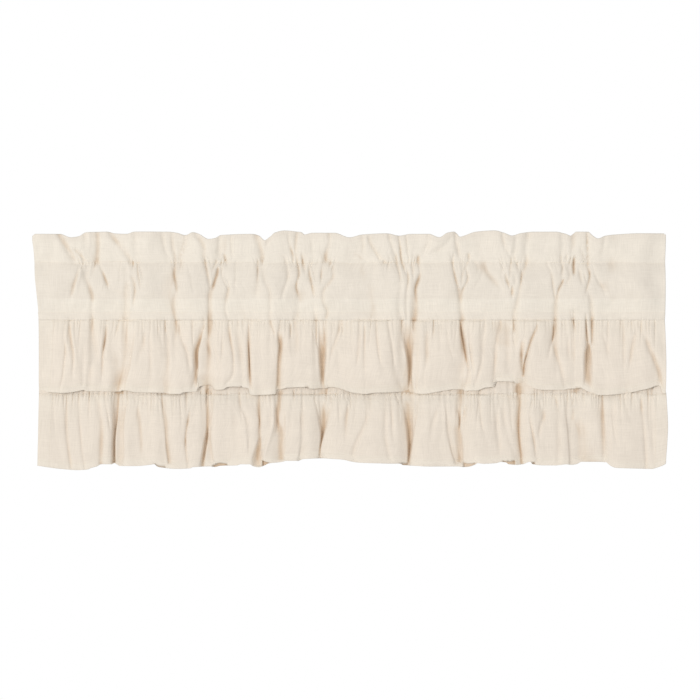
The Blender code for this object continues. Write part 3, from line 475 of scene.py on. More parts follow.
# %% The upper ruffle's creases, which its seam to the heading follows a little
UPPER_CREASES = (
    ("line", 1.6, (-486, 157, 4), (-485, 176, 4.5), (-482, 198, 4), (-478, 218, 3),
     (-479, 242, 2.5), (-480, 262, 1)),
    ("dip", 1, (-482, 170, -2), (-475, 215, -2), (-472, 240, -1)),
    ("dip", 1, (-493, 160, -1.5), (-491, 191, -2), (-485, 218, -1.5), (-482, 232, -1)),
    ("line", 1.3, (-494, 188, 1.5), (-492, 206, 3), (-494, 230, 3), (-497, 257, 3),
     (-503, 279, 1.5)),
    ("band", 1.2, (-444, 162, 2), (-442, 191, 4), (-441, 221, 4), (-448, 240, 3.5), (-452, 265, 4),
     (-452, 282, 4)),
    ("band", 0.8, (-461, 204, 2), (-462, 268, 2.5)),
    ("line", 1.4, (-422, 157, 3.5), (-423, 169, 5), (-424, 184, 7), (-426, 200, 8), (-428, 214, 5),
     (-429, 251, 2.5), (-430, 266, 1)),
    ("line", 1.3, (-401, 157, 3.5), (-403, 169, 4), (-407, 184, 2)),
    ("right_lap", 2.2, (-374, 164, 2), (-377, 191, 5), (-381, 218, 8), (-384, 239, 9),
     (-390, 257, 10), (-396, 282, 11)),
    ("dip", 0.8, (-393, 162, 2), (-393, 200, 1.5)),
    ("dip", 1.2, (-355, 180, 1.5), (-361, 206, 2.5), (-368, 232, 1)),
    ("dip", 1, (-347, 186, 1.5), (-345, 221, 2.5), (-345, 251, 2.5), (-348, 275, 1.5)),
    ("line", 1, (-326, 158, 3), (-326, 170, 1)),
    ("line", 1, (-333, 172, 2), (-327, 193, 1)),
    ("line", 1.2, (-321, 157, 5), (-321, 169, 5), (-317, 185, 2.5)),
    ("dip", 1.3, (-317, 183, 3), (-316, 206, 3.5), (-315, 236, 3), (-314, 279, 2.5)),
    ("dip", 1.2, (-300, 157, 3.5), (-296, 173, 3), (-290, 194, 3), (-282, 212, 4),
     (-279, 230, 4.5), (-275, 251, 5), (-270, 275, 5)),
    ("line", 1, (-294, 158, 2.5), (-291, 174, 1)),
    ("line", 1, (-273, 158, 5), (-273, 175, 3.5), (-272, 198, 3)),
    ("right_lap", 1, (-251, 160, 4), (-256, 176, 5), (-259, 192, 8), (-264, 212, 14),
     (-264, 239, 15), (-266, 260, 13), (-268, 282, 12)),
    ("dip", 1.2, (-241, 157, 4), (-242, 170, 3.5), (-243, 184, 1)),
    ("dip", 1, (-249, 190, 1.5), (-245, 206, 2), (-240, 220, 1)),
    ("dip", 1, (-234, 206, 1.5), (-231, 224, 2.5), (-226, 238, 3), (-225, 268, 1.5)),
    ("line", 1, (-221, 176, 1), (-221, 206, 2.5), (-224, 232, 2)),
    ("line", 1.5, (-209, 157, 3), (-209, 175, 6), (-208, 186, 6), (-205, 200, 4.5), (-202, 216, 4),
     (-201, 236, 3.5), (-202, 250, 3)),
    ("dip", 1, (-201, 240, 2), (-203, 254, 3), (-208, 262, 2.5), (-215, 268, 2), (-221, 271, 1)),
    ("band", 1, (-198, 166, 2), (-191, 198, 3), (-188, 228, 3.5), (-184, 270, 3.5)),
    ("line", 1, (-176, 170, 2, 1.2), (-176, 191, 5, 1.2), (-175, 213, 9, 1.3),
     (-174, 236, 11, 1.5), (-173, 258, 11, 1.8), (-172, 284, 11, 1.8)),
    ("line", 1, (-138, 157, 4), (-135, 168, 4), (-130, 184, 2)),
    ("line", 1, (-119, 157, 3.5), (-122, 170, 3), (-125, 182, 3)),
    ("left_lap", 1.3, (-125, 180, 3), (-123, 195, 7), (-122, 206, 7), (-124, 218, 6),
     (-125, 250, 6), (-127, 282, 6)),
    ("dip", 1, (-107, 157, 3), (-107, 172, 1)),
    ("line", 1.2, (-103, 164, 6), (-103, 186, 4)),
    ("dip", 1, (-102, 186, 2.5), (-101, 215, 1)),
    ("dip", 1, (-85, 157, 2), (-82, 184, 1.5), (-82, 198, 1)),
    ("line", 1, (-66, 157, 2.5), (-65, 176, 2.5), (-61, 192, 2)),
    ("line", 1.3, (-58, 157, 6), (-58, 184, 6), (-57, 196, 6), (-54, 207, 4)),
    ("gap", 1, (-49, 159, 5, 1.6), (-48, 180, 9, 1.5), (-48, 205, 15, 1.3), (-48, 228, 16, 1.1),
     (-48, 245, 15, 0.8), (-48, 262, 13, 0.6), (-47, 276, 9, 0.4)),
    ("dip", 1, (-15, 157, 3), (-18, 172, 4), (-22, 184, 3.5), (-25, 196, 3.5), (-31, 209, 3),
     (-34, 224, 2.5), (-36, 240, 1)),
    ("line", 1, (-12, 172, 2), (-18, 195, 1)),
    ("band", 1, (-22, 212, 1.5), (-18, 236, 2), (-14, 262, 1)),
    ("line", 1.2, (19, 158, 2.5), (17, 191, 2.5), (15, 213, 2.5), (12, 232, 1)),
    ("line", 1.3, (26, 170, 2), (25, 191, 2.5), (25, 221, 2), (26, 251, 2), (27, 275, 1)),
    ("line", 1.4, (45, 157, 3), (46, 176, 3), (48, 198, 3), (51, 221, 2.5), (56, 239, 2),
     (65, 258, 1)),
    ("dip", 1, (67, 157, 3.5), (69, 176, 3), (73, 198, 3), (75, 218, 3), (77, 239, 3),
     (83, 257, 3), (90, 275, 2)),
    ("line", 1.3, (90, 157, 5), (90, 172, 4), (92, 190, 3)),
    ("gap", 1, (99, 163, 4, 1.9), (100, 184, 9, 1.7), (102, 203, 14, 1.3), (103, 221, 16, 0.9),
     (104, 239, 16, 0.7), (104, 260, 16, 0.6), (105, 284, 15, 0.6)),
    ("line", 1, (94, 180, 6), (98, 203, 6)),
    ("line", 1.3, (110, 157, 7), (110, 173, 5)),
    ("line", 1, (115, 258, 3), (115, 284, 5)),
    ("band", 1, (121, 264, 2), (122, 284, 2)),
    ("dip", 1.4, (137, 162, 2.5), (135, 176, 3), (133, 198, 3.5), (133, 221, 3.5), (130, 242, 3),
     (127, 270, 3)),
    ("line", 1, (145, 157, 3), (144, 173, 2.5), (143, 186, 1)),
    ("line", 1, (169, 160, 1.5), (170, 191, 2), (174, 209, 2), (179, 224, 1)),
    ("line", 1.7, (192, 158, 5), (192, 169, 8), (194, 181, 10), (197, 193, 11), (199, 206, 11),
     (201, 218, 10), (203, 230, 8), (206, 242, 7), (207, 249, 6)),
    ("dip", 1.5, (207, 246, 6), (205, 260, 7), (202, 270, 7), (199, 282, 7)),
    ("line", 1.5, (206, 168, 3), (207, 191, 4), (209, 213, 4.5), (212, 236, 4.5), (213, 251, 4),
     (217, 272, 3)),
    ("dip", 1.2, (232, 166, 3), (230, 191, 3.5), (229, 213, 3.5), (228, 230, 3.5), (224, 245, 4),
     (220, 260, 4), (216, 272, 3)),
    ("dip", 1, (262, 157, 2.5), (258, 173, 3), (254, 194, 3), (252, 213, 4), (251, 228, 4.5),
     (250, 245, 4), (249, 268, 3)),
    ("band", 1.1, (274, 157, 3.5), (274, 206, 3.5), (274, 228, 4), (276, 243, 4), (281, 255, 2)),
    ("line", 1.5, (285, 157, 6), (285, 174, 5)),
    ("line", 1, (281, 178, 3), (285, 198, 1.5)),
    ("dip", 1, (299, 196, 4), (297, 218, 8), (298, 230, 9), (300, 242, 7)),
    ("line", 1.6, (327, 157, 3), (322, 173, 4.5), (316, 185, 6), (311, 199, 7), (308, 211, 8),
     (304, 224, 12), (302, 239, 13), (301, 252, 8)),
    ("dip", 1, (302, 252, 4), (303, 272, 1.5)),
    ("line", 1.3, (354, 159, 4), (353, 173, 9), (352, 184, 9), (350, 195, 4)),
    ("dip", 1, (350, 194, 2.5), (346, 209, 2.5), (342, 223, 1)),
    ("dip", 1.3, (351, 195, 3), (356, 212, 3.5), (362, 230, 4), (367, 248, 4), (371, 263, 4),
     (375, 278, 3)),
    ("dip", 1, (373, 160, 1.5), (378, 188, 2), (378, 213, 2), (382, 230, 1)),
    ("line", 1.2, (388, 157, 5), (389, 164, 4), (392, 182, 2), (394, 204, 1)),
    ("line", 1.4, (410, 157, 4), (410, 169, 6), (411, 182, 8), (412, 196, 9), (413, 207, 9)),
    ("line", 1.2, (420, 157, 5), (420, 176, 4), (419, 198, 4)),
    ("gap", 1, (413, 200, 8, 0.8), (412, 215, 15, 1.2), (412, 240, 17, 1.3), (412, 284, 17, 1.2)),
    ("line", 1, (433, 158, 2.5), (433, 170, 1)),
    ("line", 1, (439, 157, 2.5), (439, 168, 1)),
    ("line", 1, (445, 160, 2), (445, 178, 1)),
    ("dip", 1, (437, 180, 1), (442, 190, 2), (446, 209, 2), (449, 226, 1)),
    ("band", 1.5, (455, 238, 1.5), (456, 268, 1.5)),
    ("dip", 1, (472, 157, 2.5), (474, 169, 3), (474, 191, 3), (474, 238, 1.5)),
    ("line", 1, (492, 158, 3), (495, 172, 2)),
    ("line", 1, (489, 163, 2), (492, 176, 2)),
    ("dip", 1, (497, 173, 2.5), (493, 188, 3.5), (488, 209, 4), (486, 226, 3.5), (483, 241, 1.5)),
    ("band", 0.8, (502, 162, 2.5), (508, 179, 3), (515, 196, 3.5), (521, 211, 4.5), (527, 227, 5),
     (533, 242, 5), (538, 258, 5), (540, 279, 5)),
)
print("creases of the upper ruffle:", len(UPPER_CREASES))

# %% [markdown]
# ## The heading: its side section
#
# From the side the two layers lie together in the frill, part at the header's seam to go round
# the rod, and meet again at the pocket's seam. The front layer stands out a little further than
# the back one, as it does when the window is on the other side. Each row of the tables is a drop
# and a distance before (front) or behind (back) the rod's own plane.

# %% The heading's surface
FRONT_LAYER = ((0, 8.8), (28, 8.3), (57, 7.3), (64, 10.0), (74, 13.4), (88, 16.6), (100, 17.4),
               (112, 16.2), (124, 13.3), (134, 9.9), (143, 7.3), (157, 7.3))
BACK_LAYER = ((57, -5), (66, 9), (80, 15.5), (95, 16), (110, 14), (125, 9.5), (142.4, -5))
BACK_SHARE = 0.45     # depth of the back layer's creases over the pocket, as a share
LAYERS_APART = 1.6    # mm from the front layer to the back one where they lie together
CREASED = 1.06        # how much of the creases' tabled depth shows
DEEPEST = 10.0        # mm, the rod's side stops a crease of the pocket here
SEAM_PINCH = 0.5      # mm by which a line of stitches draws the cloth in
PINCH_WIDE = 2.2      # mm above and below the line
SWAY_REACH = 22.0     # mm above and below the header's seam that take part in its ups and downs
SWELL_RUN = 0.3       # long swells run down the cloth, so a drop counts only this much in them
PARTING = (9.0, 12.0)           # mm from the pocket's two seams over which its layers part
FOLLOWS = 0.5         # share of its ruffle's creases that the heading's edge follows,
EDGE_READ = 2.0       # read no higher than these mm below it,
FOLLOWS_FROM = 11.0   # starting these mm above it
EDGE_DRAWN = 0.5      # share of the ruffle's gathers that the edge has too
CROWN = 0.7           # mm by which the fold at the top rises over its two layers
FAN_STEP = 4.2        # mm from one pleat of a fan to the next
FAN_LEAN = -0.34      # lean of a fan's rightmost pleat
ASKEW = (0.4, 0.1)    # share of a step, and lean, by which its pleats are out of line
PINCHES = (           # x and half width of the places where the header's seam is drawn up
    (-452, 15), (-374, 10), (-299, 11), (-236, 17), (-155, 8), (-80, 24), (-36, 9), (62, 8),
    (95, 22), (190, 16), (281, 21), (361, 11), (392, 20), (416, 8),
)


def fans_at(pinches, spacing, seed):
    """Places and leans of the pleats that fan out upwards from each pinch."""
    pick = np.random.default_rng(seed)
    off, turned = ASKEW
    across = [np.arange(-1.0, 1.0, spacing / half) for _, half in pinches]
    across = [row + pick.uniform(-off, off, len(row)) * spacing / half
              for row, (_, half) in zip(across, pinches)]
    places = [at + row * half for row, (at, half) in zip(across, pinches)]
    leans = [FAN_LEAN * row + pick.uniform(-turned, turned, len(row)) for row in across]
    return np.concatenate(places), np.concatenate(leans)


FANS = pick_pleats(*fans_at(PINCHES, FAN_STEP, seed=3), seed=4,
                   deep=(0.9, 2.8), half=(0.8, 1.5), above=(5, 15), below=(7, 26))
STREAKS = pick_pleats(*places_along(-545, 552, spacing=(2.2, 6.0), lean=0.03, seed=5), seed=6,
                      deep=(0.15, 0.55), half=(0.7, 1.3), above=(6, 12), below=(6, 12))
UPPER_GATHERS = pick_pleats(*places_along(-520, 530, spacing=(3.0, 9.5), lean=0.1, seed=21),
                            seed=22, deep=(0.5, 2.7), half=(0.8, 1.6), above=(3, 9),
                            below=(14, 60))


def pinch(drop, seam):
    """Depth of the dent that a line of stitches at the drop "seam" makes."""
    return SEAM_PINCH * np.exp(-((drop - seam) / PINCH_WIDE) ** 2)


def heading_lay(x, drop, fans=0.0):
    """Depth of the heading's creases and long swells, which what is sewn to it has too."""
    deep = CREASED * relief(x, drop, HEADING_CREASES) + fans
    deep = np.where(deep > 0.0, DEEPEST * np.tanh(deep / DEEPEST), deep)
    swells = rumple(x, SWELL_RUN * drop, *RUMPLES["swells"])
    return deep + swells + rumple(x, drop, *RUMPLES["lay"])


def heading_creases(x, drop):
    """Depth of all that is uneven in the heading: creases, small pleats at seams and rumple."""
    lay = heading_lay(x, drop, pleat_depth(x, drop - HEADER_SEAM, FANS))
    strip = pleat_depth(x, drop - HEADING_EDGE, STREAKS)
    strip += EDGE_DRAWN * pleat_depth(x, drop - HEADING_EDGE, UPPER_GATHERS)
    edge = seam_relief(x, np.maximum(drop, HEADING_EDGE + EDGE_READ), UPPER_CREASES)
    strip += FOLLOWS * edge * ramp((drop - HEADING_EDGE + FOLLOWS_FROM) / FOLLOWS_FROM)
    return lay + strip + rumple(x, drop, *RUMPLES["crumple"])


def front_wave(x, drop):
    """y of the heading's front layer: its side section plus its creases, mm."""
    out = smooth_read(*zip(*FRONT_LAYER), drop)
    return heading_creases(x, drop) + pinch(drop, HEADER_SEAM) + pinch(drop, POCKET_SEAM) - out


def back_wave(x, drop):
    """y of the back layer over the pocket. Its creases turn from the front's into their own."""
    out = smooth_read(*zip(*BACK_LAYER), drop)
    high, low = PARTING
    meets = np.maximum(ramp((HEADER_SEAM + high - drop) / high),
                       ramp((drop - POCKET_SEAM + low) / low))
    share = meets - (1.0 - meets) * BACK_SHARE
    return out + share * heading_creases(x, drop)


def top_of(x):
    """Drop of the folded top edge at each x."""
    return smooth_read(*zip(*TOP_EDGE), x)


def sway(x, drop):
    """How far the header's seam hangs below its straight line, and the cloth beside it."""
    near = np.exp(-((drop - HEADER_SEAM) / SWAY_REACH) ** 2)
    return near * rumple(x, 0.0 * x, *RUMPLES["sway"])


def heading_rows(rows, wave, count):
    """x, y and drop of some rows. A row above the header's seam is squeezed under the top edge."""
    rows = np.asarray(rows, dtype=float)
    share = np.minimum(rows / HEADER_SEAM, 1.0)[:, None]

    def drops_of(x):
        top = top_of(x)
        level = np.where(share < 1.0, top + (HEADER_SEAM - top) * share, rows[:, None] + 0.0 * x)
        return level + sway(x, level)

    ends = smooth_read(*LEFT_END, rows), smooth_read(*RIGHT_END, rows)
    x, length = lay_columns(ends, wave, drops_of, count)
    drop = drops_of(x)
    return x, wave(x, drop), drop, length


# %% The heading's grid: up the front, over the top and down the back
HEADING_COLUMNS = 750
front_rows = np.concatenate([   # drops, closer together at the two seams
    np.linspace(157, 145, 5), np.linspace(143, 141, 2), np.linspace(138.5, 61, 24),
    np.linspace(59, 55, 3), np.linspace(52, 3, 15), [1.2],
])
back_rows = np.concatenate([[1.2, 7, 18, 31, 43, 52], np.linspace(57, 142.4, 9)])

x, y, drop, heading_wide = heading_rows(front_rows, front_wave, HEADING_COLUMNS)
front = np.stack([x, y, -drop], axis=-1)

in_header = back_rows < HEADER_SEAM
xh, yh, droph, _ = heading_rows(back_rows[in_header], front_wave, HEADING_COLUMNS)
xp, yp, dropp, _ = heading_rows(back_rows[~in_header], back_wave, HEADING_COLUMNS)
x, y = shift_along_normal(np.vstack([xh, xp]), np.vstack([yh, yp]), LAYERS_APART)
back = np.stack([x, y, -np.vstack([droph, dropp])], axis=-1)

crown = 0.5 * (front[-1:] + back[:1])
crown[..., 2] += CROWN
heading_points = np.concatenate([front, crown, back])
print("heading:", heading_points.shape, "cloth width", round(heading_wide), "mm")

# %% [markdown]
# ## The under panel
#
# The plain cloth behind the upper ruffle only shows as a narrow strip between the ruffles, and
# from behind. It hangs from the pocket's seam in the heading's wave and ends in a wave of its
# own, set by the lower ruffle that is gathered onto it.

# %% The lower ruffle's creases, which the panel's edge has too
LOWER_CREASES = (
    ("dip", 1, (-492, 296, 1), (-492, 333, 2.5), (-490, 350, 3), (-488, 370, 3.5), (-485, 393, 4),
     (-482, 412, 4)),
    ("line", 1.4, (-470, 282, 4), (-470, 298, 3.5), (-469, 310, 2.5), (-468, 335, 2.5),
     (-466, 350, 3), (-464, 375, 3), (-462, 390, 3), (-459, 405, 3), (-458, 413, 3.5)),
    ("line", 1, (-452, 281, 3), (-452, 294, 2)),
    ("dip", 1, (-452, 295, 1), (-452, 322, 1)),
    ("dip", 1.4, (-446, 283, 2), (-440, 290, 2.5), (-437, 300, 3), (-434, 310, 3), (-431, 323, 3),
     (-429, 350, 4.5), (-430, 375, 5), (-431, 404, 5)),
    ("line", 1, (-435, 281, 4), (-436, 291, 2.5)),
    ("line", 1.3, (-425, 281, 5), (-423, 293, 4.5), (-422, 304, 3.5), (-420, 316, 4.5),
     (-418, 328, 4), (-416, 338, 3), (-415, 347, 1)),
    ("gap", 1, (-405, 281, 9, 0.9), (-406, 301, 11, 0.9), (-406, 316, 13, 0.8),
     (-407, 334, 14, 0.7), (-408, 352, 12, 0.6), (-409, 370, 13, 0.6), (-409, 387, 14, 0.6),
     (-409, 402, 15, 0.7)),
    ("right_lap", 1.4, (-387, 283, 6), (-388, 298, 6), (-391, 316, 6), (-393, 330, 5.5),
     (-394, 350, 5), (-393, 370, 5), (-393, 387, 5), (-395, 403, 4)),
    ("line", 1.5, (-394, 277, 7), (-393, 284, 5)),
    ("line", 1, (-376, 281, 3), (-374, 290, 3), (-371, 299, 1)),
    ("dip", 1.2, (-369, 308, 1.5), (-366, 320, 3), (-364, 335, 3), (-363, 352, 3), (-361, 370, 3),
     (-360, 382, 1.5)),
    ("line", 1.6, (-463, 275, 6), (-463, 284, 4)),
    ("left_lap", 1.6, (-334, 284, 3), (-328, 292, 3.5), (-325, 301, 3.5), (-322, 316, 3.5),
     (-320, 335, 4), (-318, 355, 4.5), (-317, 375, 5), (-315, 390, 6), (-313, 402, 6.5)),
    ("line", 1, (-284, 281, 4), (-284, 296, 3.5), (-283, 312, 2)),
    ("line", 1.3, (-275, 298, 1.5), (-277, 312, 3), (-280, 325, 5), (-281, 333, 7), (-283, 346, 5),
     (-284, 356, 5), (-285, 367, 7), (-284, 377, 5), (-283, 388, 4.5), (-281, 400, 4.5),
     (-280, 410, 4)),
    ("dip", 1, (-268, 292, 2), (-268, 305, 3), (-270, 316, 3), (-273, 328, 2), (-275, 340, 1)),
    ("gap", 1, (-246, 281, 9, 0.6), (-248, 292, 10, 0.6), (-247, 304, 9, 0.55),
     (-247, 316, 6, 0.5), (-247, 335, 5, 0.5), (-247, 347, 8, 0.5), (-248, 358, 12, 0.6),
     (-250, 370, 13, 0.7), (-252, 383, 13, 0.7), (-254, 396, 13, 0.7), (-256, 408, 12, 0.7)),
    ("right_lap", 1.2, (-237, 281, 8), (-239, 303, 6.5), (-241, 320, 5.5), (-242, 350, 5),
     (-243, 360, 6), (-241, 375, 6.5), (-239, 390, 6), (-237, 400, 4)),
    ("line", 1.5, (-260, 274, 7), (-259, 281, 5)),
    ("line", 1, (-226, 280, 2), (-225, 290, 1)),
    ("band", 1.2, (-197, 322, 1.5), (-197, 345, 2.5), (-196, 370, 2.5), (-193, 395, 1.5)),
    ("line", 1.3, (-194, 281, 4), (-193, 288, 6), (-192, 297, 6), (-191, 305, 4), (-189, 319, 2.5),
     (-186, 329, 2.5), (-182, 338, 1)),
    ("line", 1.6, (-189, 273, 6), (-188, 283, 3)),
    ("left_lap", 1.3, (-186, 312, 2.5), (-181, 325, 3.5), (-178, 337, 3.5), (-176, 355, 3.5),
     (-175, 370, 3.5), (-175, 390, 2)),
    ("line", 1.3, (-159, 285, 3), (-158, 298, 5), (-158, 311, 8), (-157, 323, 7.5), (-156, 335, 7),
     (-157, 349, 5.5), (-156, 364, 5.5)),
    ("gap", 1, (-156, 362, 5, 0.6), (-157, 375, 9, 1), (-159, 387, 13, 1.4), (-160, 396, 15, 1.6),
     (-160, 406, 14, 1.6)),
    ("band", 0.8, (-139, 305, 2), (-138, 320, 3), (-138, 345, 1.5)),
    ("dip", 1, (-147, 350, 1), (-148, 365, 3), (-150, 380, 2)),
    ("dip", 1.2, (-121, 283, 5), (-123, 291, 6), (-124, 301, 7), (-126, 311, 8), (-127, 322, 8),
     (-126, 331, 8), (-126, 340, 6), (-126, 352, 2.5)),
    ("right_lap", 1.5, (-114, 320, 2.5), (-114, 345, 4), (-114, 370, 4.5), (-116, 395, 4.5)),
    ("dip", 1, (-128, 296, -1.5), (-131, 310, -2), (-132, 335, -2), (-136, 350, -2.5),
     (-140, 366, -2.5), (-145, 382, -2.5), (-149, 392, -2)),
    ("line", 1, (-98, 281, 3.5), (-98, 296, 2)),
    ("dip", 1, (-98, 296, 2), (-100, 308, 2), (-103, 320, 2), (-104, 335, 2), (-106, 355, 2),
     (-108, 368, 1)),
    ("line", 1, (-91, 281, 3.5), (-90, 292, 2.5), (-90, 312, 1)),
    ("left_lap", 1.8, (-80, 281, 5), (-82, 308, 4), (-84, 330, 4), (-83, 355, 4), (-84, 375, 4.5),
     (-86, 390, 5), (-88, 400, 4.5)),
    ("line", 1.4, (-73, 273, 8), (-72, 280, 5)),
    ("line", 1.2, (-64, 282, 2), (-61, 293, 3), (-58, 303, 4), (-56, 313, 4.5), (-54, 324, 5),
     (-52, 335, 5)),
    ("gap", 1, (-46, 300, 3, 2), (-46, 312, 6, 1.8), (-47, 323, 10, 1.5), (-47, 335, 15, 1.2),
     (-47, 345, 15, 0.9), (-48, 356, 13, 0.6), (-50, 368, 8, 0.4), (-52, 379, 6, 0.35),
     (-53, 394, 5, 0.35)),
    ("dip", 1.2, (-33, 277, 9), (-33, 290, 8), (-35, 302, 6), (-38, 314, 7), (-41, 328, 8),
     (-44, 341, 7)),
    ("line", 1, (-18, 281, 3), (-26, 287, 4), (-31, 292, 3)),
    ("line", 1, (-42, 280, 4), (-42, 292, 3)),
    ("line", 1.3, (-6, 281, 4), (-7, 288, 4), (-10, 297, 2.5), (-14, 308, 2), (-18, 322, 1)),
    ("dip", 1.3, (6, 284, 3), (4, 296, 4), (1, 305, 3.5), (-4, 313, 3), (-7, 321, 3),
     (-7, 345, 2.5), (-5, 362, 1.5)),
    ("dip", 1.3, (39, 281, 4), (37, 291, 4), (35, 300, 3), (33, 313, 3), (30, 325, 3.5),
     (26, 337, 3.5), (21, 349, 3.5), (15, 361, 4), (9, 373, 4.5), (6, 383, 4), (5, 392, 3),
     (6, 402, 2.5)),
    ("line", 1, (26, 284, 2), (27, 305, 1)),
    ("dip", 1.5, (60, 281, 3.5), (61, 294, 2.5), (62, 310, 2.5), (61, 331, 3), (61, 355, 3.5),
     (63, 370, 4), (66, 383, 4), (69, 396, 3.5)),
    ("dip", 1, (71, 283, 2), (72, 305, 2), (73, 331, 2.5), (74, 355, 2), (76, 368, 1)),
    ("line", 1, (77, 281, 4), (80, 288, 5), (84, 298, 4), (88, 309, 2)),
    ("line", 1, (84, 282, 4), (88, 292, 3.5), (91, 300, 2)),
    ("line", 1, (91, 281, 6), (90, 290, 6), (89, 299, 4)),
    ("gap", 1, (103, 300, 4, 2), (102, 312, 7, 1.8), (102, 323, 10, 1.5), (103, 335, 13, 1.2),
     (104, 348, 16, 1), (104, 360, 17, 0.9), (104, 372, 16, 0.75), (103, 383, 12, 0.6),
     (102, 396, 9, 0.5), (101, 406, 7, 0.5)),
    ("line", 1, (91, 300, 3), (94, 311, 4), (97, 323, 5), (98, 335, 5)),
    ("line", 1.2, (118, 286, 7), (117, 298, 6.5), (116, 310, 5), (114, 325, 3.5)),
    ("right_lap", 0.9, (113, 310, 4), (113, 330, 5), (111, 345, 5), (109, 360, 5), (106, 375, 4)),
    ("band", 1, (109, 281, 4), (108, 298, 5)),
    ("line", 1, (157, 281, 4.5), (157, 291, 4), (157, 300, 2)),
    ("dip", 1.3, (156, 299, 2), (153, 308, 3), (148, 320, 3), (144, 334, 3), (141, 350, 2.5),
     (141, 364, 1.5)),
    ("dip", 1, (158, 300, 1.5), (160, 325, 1.5), (159, 350, 1.5), (157, 364, 1)),
    ("left_lap", 1.3, (163, 284, 3), (165, 300, 3), (167, 315, 3.5), (168, 335, 4.5),
     (169, 350, 4.5), (172, 365, 4.5), (175, 379, 5), (178, 391, 5), (183, 402, 5)),
    ("line", 1.5, (174, 277, 6), (174, 283, 3)),
    ("line", 1, (181, 282, 3), (182, 295, 2)),
    ("dip", 1.3, (192, 282, 5), (190, 295, 5), (189, 306, 5.5), (188, 315, 6)),
    ("line", 1.3, (188, 313, 6), (190, 322, 9), (190, 334, 8), (189, 346, 6)),
    ("right_lap", 1.5, (189, 344, 5), (192, 355, 7), (193, 368, 8), (194, 383, 8.5),
     (194, 400, 8)),
    ("line", 1.3, (205, 281, 7), (204, 289, 6), (203, 297, 5), (200, 308, 4.5), (198, 320, 4),
     (196, 332, 3.5), (194, 344, 2.5)),
    ("line", 1.3, (226, 281, 4.5), (225, 296, 4), (225, 310, 4), (226, 324, 3.5), (228, 337, 3),
     (231, 350, 2.5), (235, 358, 1)),
    ("line", 1, (234, 282, 2.5), (233, 294, 1.5)),
    ("line", 1, (217, 290, 1.5), (216, 308, 1)),
    ("dip", 1.4, (249, 282, 3), (251, 295, 3), (252, 310, 3), (253, 325, 3.5), (254, 338, 3.5),
     (256, 355, 3.5), (258, 370, 3.5), (258, 388, 1.5)),
    ("dip", 1.3, (258, 287, 2), (262, 305, 2.5), (266, 322, 2.5), (269, 338, 2), (274, 355, 2),
     (279, 372, 2), (284, 388, 1.5)),
    ("line", 1.3, (276, 266, 6), (275, 279, 5), (276, 292, 3.5), (278, 306, 3), (279, 325, 2.5),
     (281, 345, 1.5)),
    ("line", 1.7, (291, 275, 6), (293, 287, 6), (295, 293, 6.5), (295, 301, 6), (293, 313, 6.5),
     (293, 323, 6.5), (292, 336, 7.5), (292, 349, 7.5), (293, 361, 7.5), (294, 373, 7.5),
     (296, 385, 7.5), (297, 397, 6), (297, 404, 5)),
    ("line", 1.5, (319, 283, 2.5), (317, 294, 3), (314, 303, 4), (312, 310, 4.5), (311, 318, 4),
     (312, 328, 5), (314, 340, 5), (316, 352, 5.5), (318, 364, 6), (320, 376, 5.5), (321, 390, 4)),
    ("dip", 1.2, (328, 281, 4), (328, 292, 3.5), (330, 300, 4), (332, 310, 4.5), (335, 317, 6),
     (336, 325, 6), (334, 331, 4.5), (330, 339, 4), (328, 348, 4), (327, 360, 2)),
    ("dip", 1, (325, 380, 1.5), (324, 398, 3)),
    ("line", 1, (333, 280, 5), (333, 293, 4)),
    ("line", 1.2, (340, 280, 4.5), (340, 292, 3.5), (341, 304, 3), (342, 318, 2), (343, 332, 1)),
    ("line", 1.3, (354, 281, 3), (356, 290, 4.5), (358, 299, 4.5), (360, 307, 3), (362, 316, 3),
     (364, 325, 1.5)),
    ("band", 0.9, (361, 325, 2), (361, 350, 3), (361, 370, 3.5), (361, 388, 4), (360, 402, 4)),
    ("left_lap", 1.6, (371, 282, 3), (373, 297, 3), (375, 313, 3), (376, 330, 3.5), (378, 343, 4),
     (379, 361, 4.5), (380, 376, 5), (381, 392, 5), (381, 405, 5)),
    ("line", 1, (392, 279, 5.5), (392, 290, 4.5), (394, 300, 2)),
    ("line", 1, (391, 291, 2), (387, 298, 3), (382, 307, 2)),
    ("dip", 1, (393, 302, 2.5), (390, 311, 2.5), (387, 322, 1)),
    ("line", 1, (400, 277, 7), (400, 289, 3)),
    ("line", 1, (397, 277, 6), (396, 281, 3)),
    ("dip", 1, (404, 284, 3), (403, 300, 2.5), (401, 320, 1.5)),
    ("line", 1.6, (413, 273, 7), (413, 283, 4)),
    ("band", 2.2, (399, 330, 3), (401, 350, 5), (400, 375, 5), (398, 395, 5)),
    ("dip", 1.6, (436, 279, 5.5), (436, 301, 5), (437, 319, 5.5), (438, 335, 5), (439, 355, 6),
     (440, 375, 6), (441, 402, 5.5)),
    ("dip", 1, (450, 282, 3), (450, 300, 2), (449, 340, 2), (449, 380, 2)),
    ("dip", 1.2, (455, 282, 4), (455, 296, 5), (455, 312, 5), (455, 328, 4), (457, 342, 3.5),
     (459, 356, 3), (461, 372, 1.5)),
    ("dip", 1, (475, 288, 2), (478, 305, 2.5), (482, 319, 2), (488, 333, 1)),
    ("line", 1, (500, 280, 3), (502, 292, 2)),
    ("line", 1, (505, 290, 3, 1.3), (505, 298, 6, 1.3), (505, 307, 6.5, 1.3), (506, 317, 4, 1.3),
     (507, 328, 3, 1.5), (509, 346, 3.5, 2), (510, 364, 4, 2.2), (511, 382, 4.5, 2.4),
     (512, 400, 4.5, 2.4), (512, 410, 4, 2.4)),
    ("dip", 1, (517, 280, 2.5), (519, 300, 2), (520, 315, 1)),
    ("dip", 1.3, (521, 290, 1.5), (522, 310, 2.5), (523, 331, 2.5), (524, 361, 2.5),
     (525, 390, 1.5)),
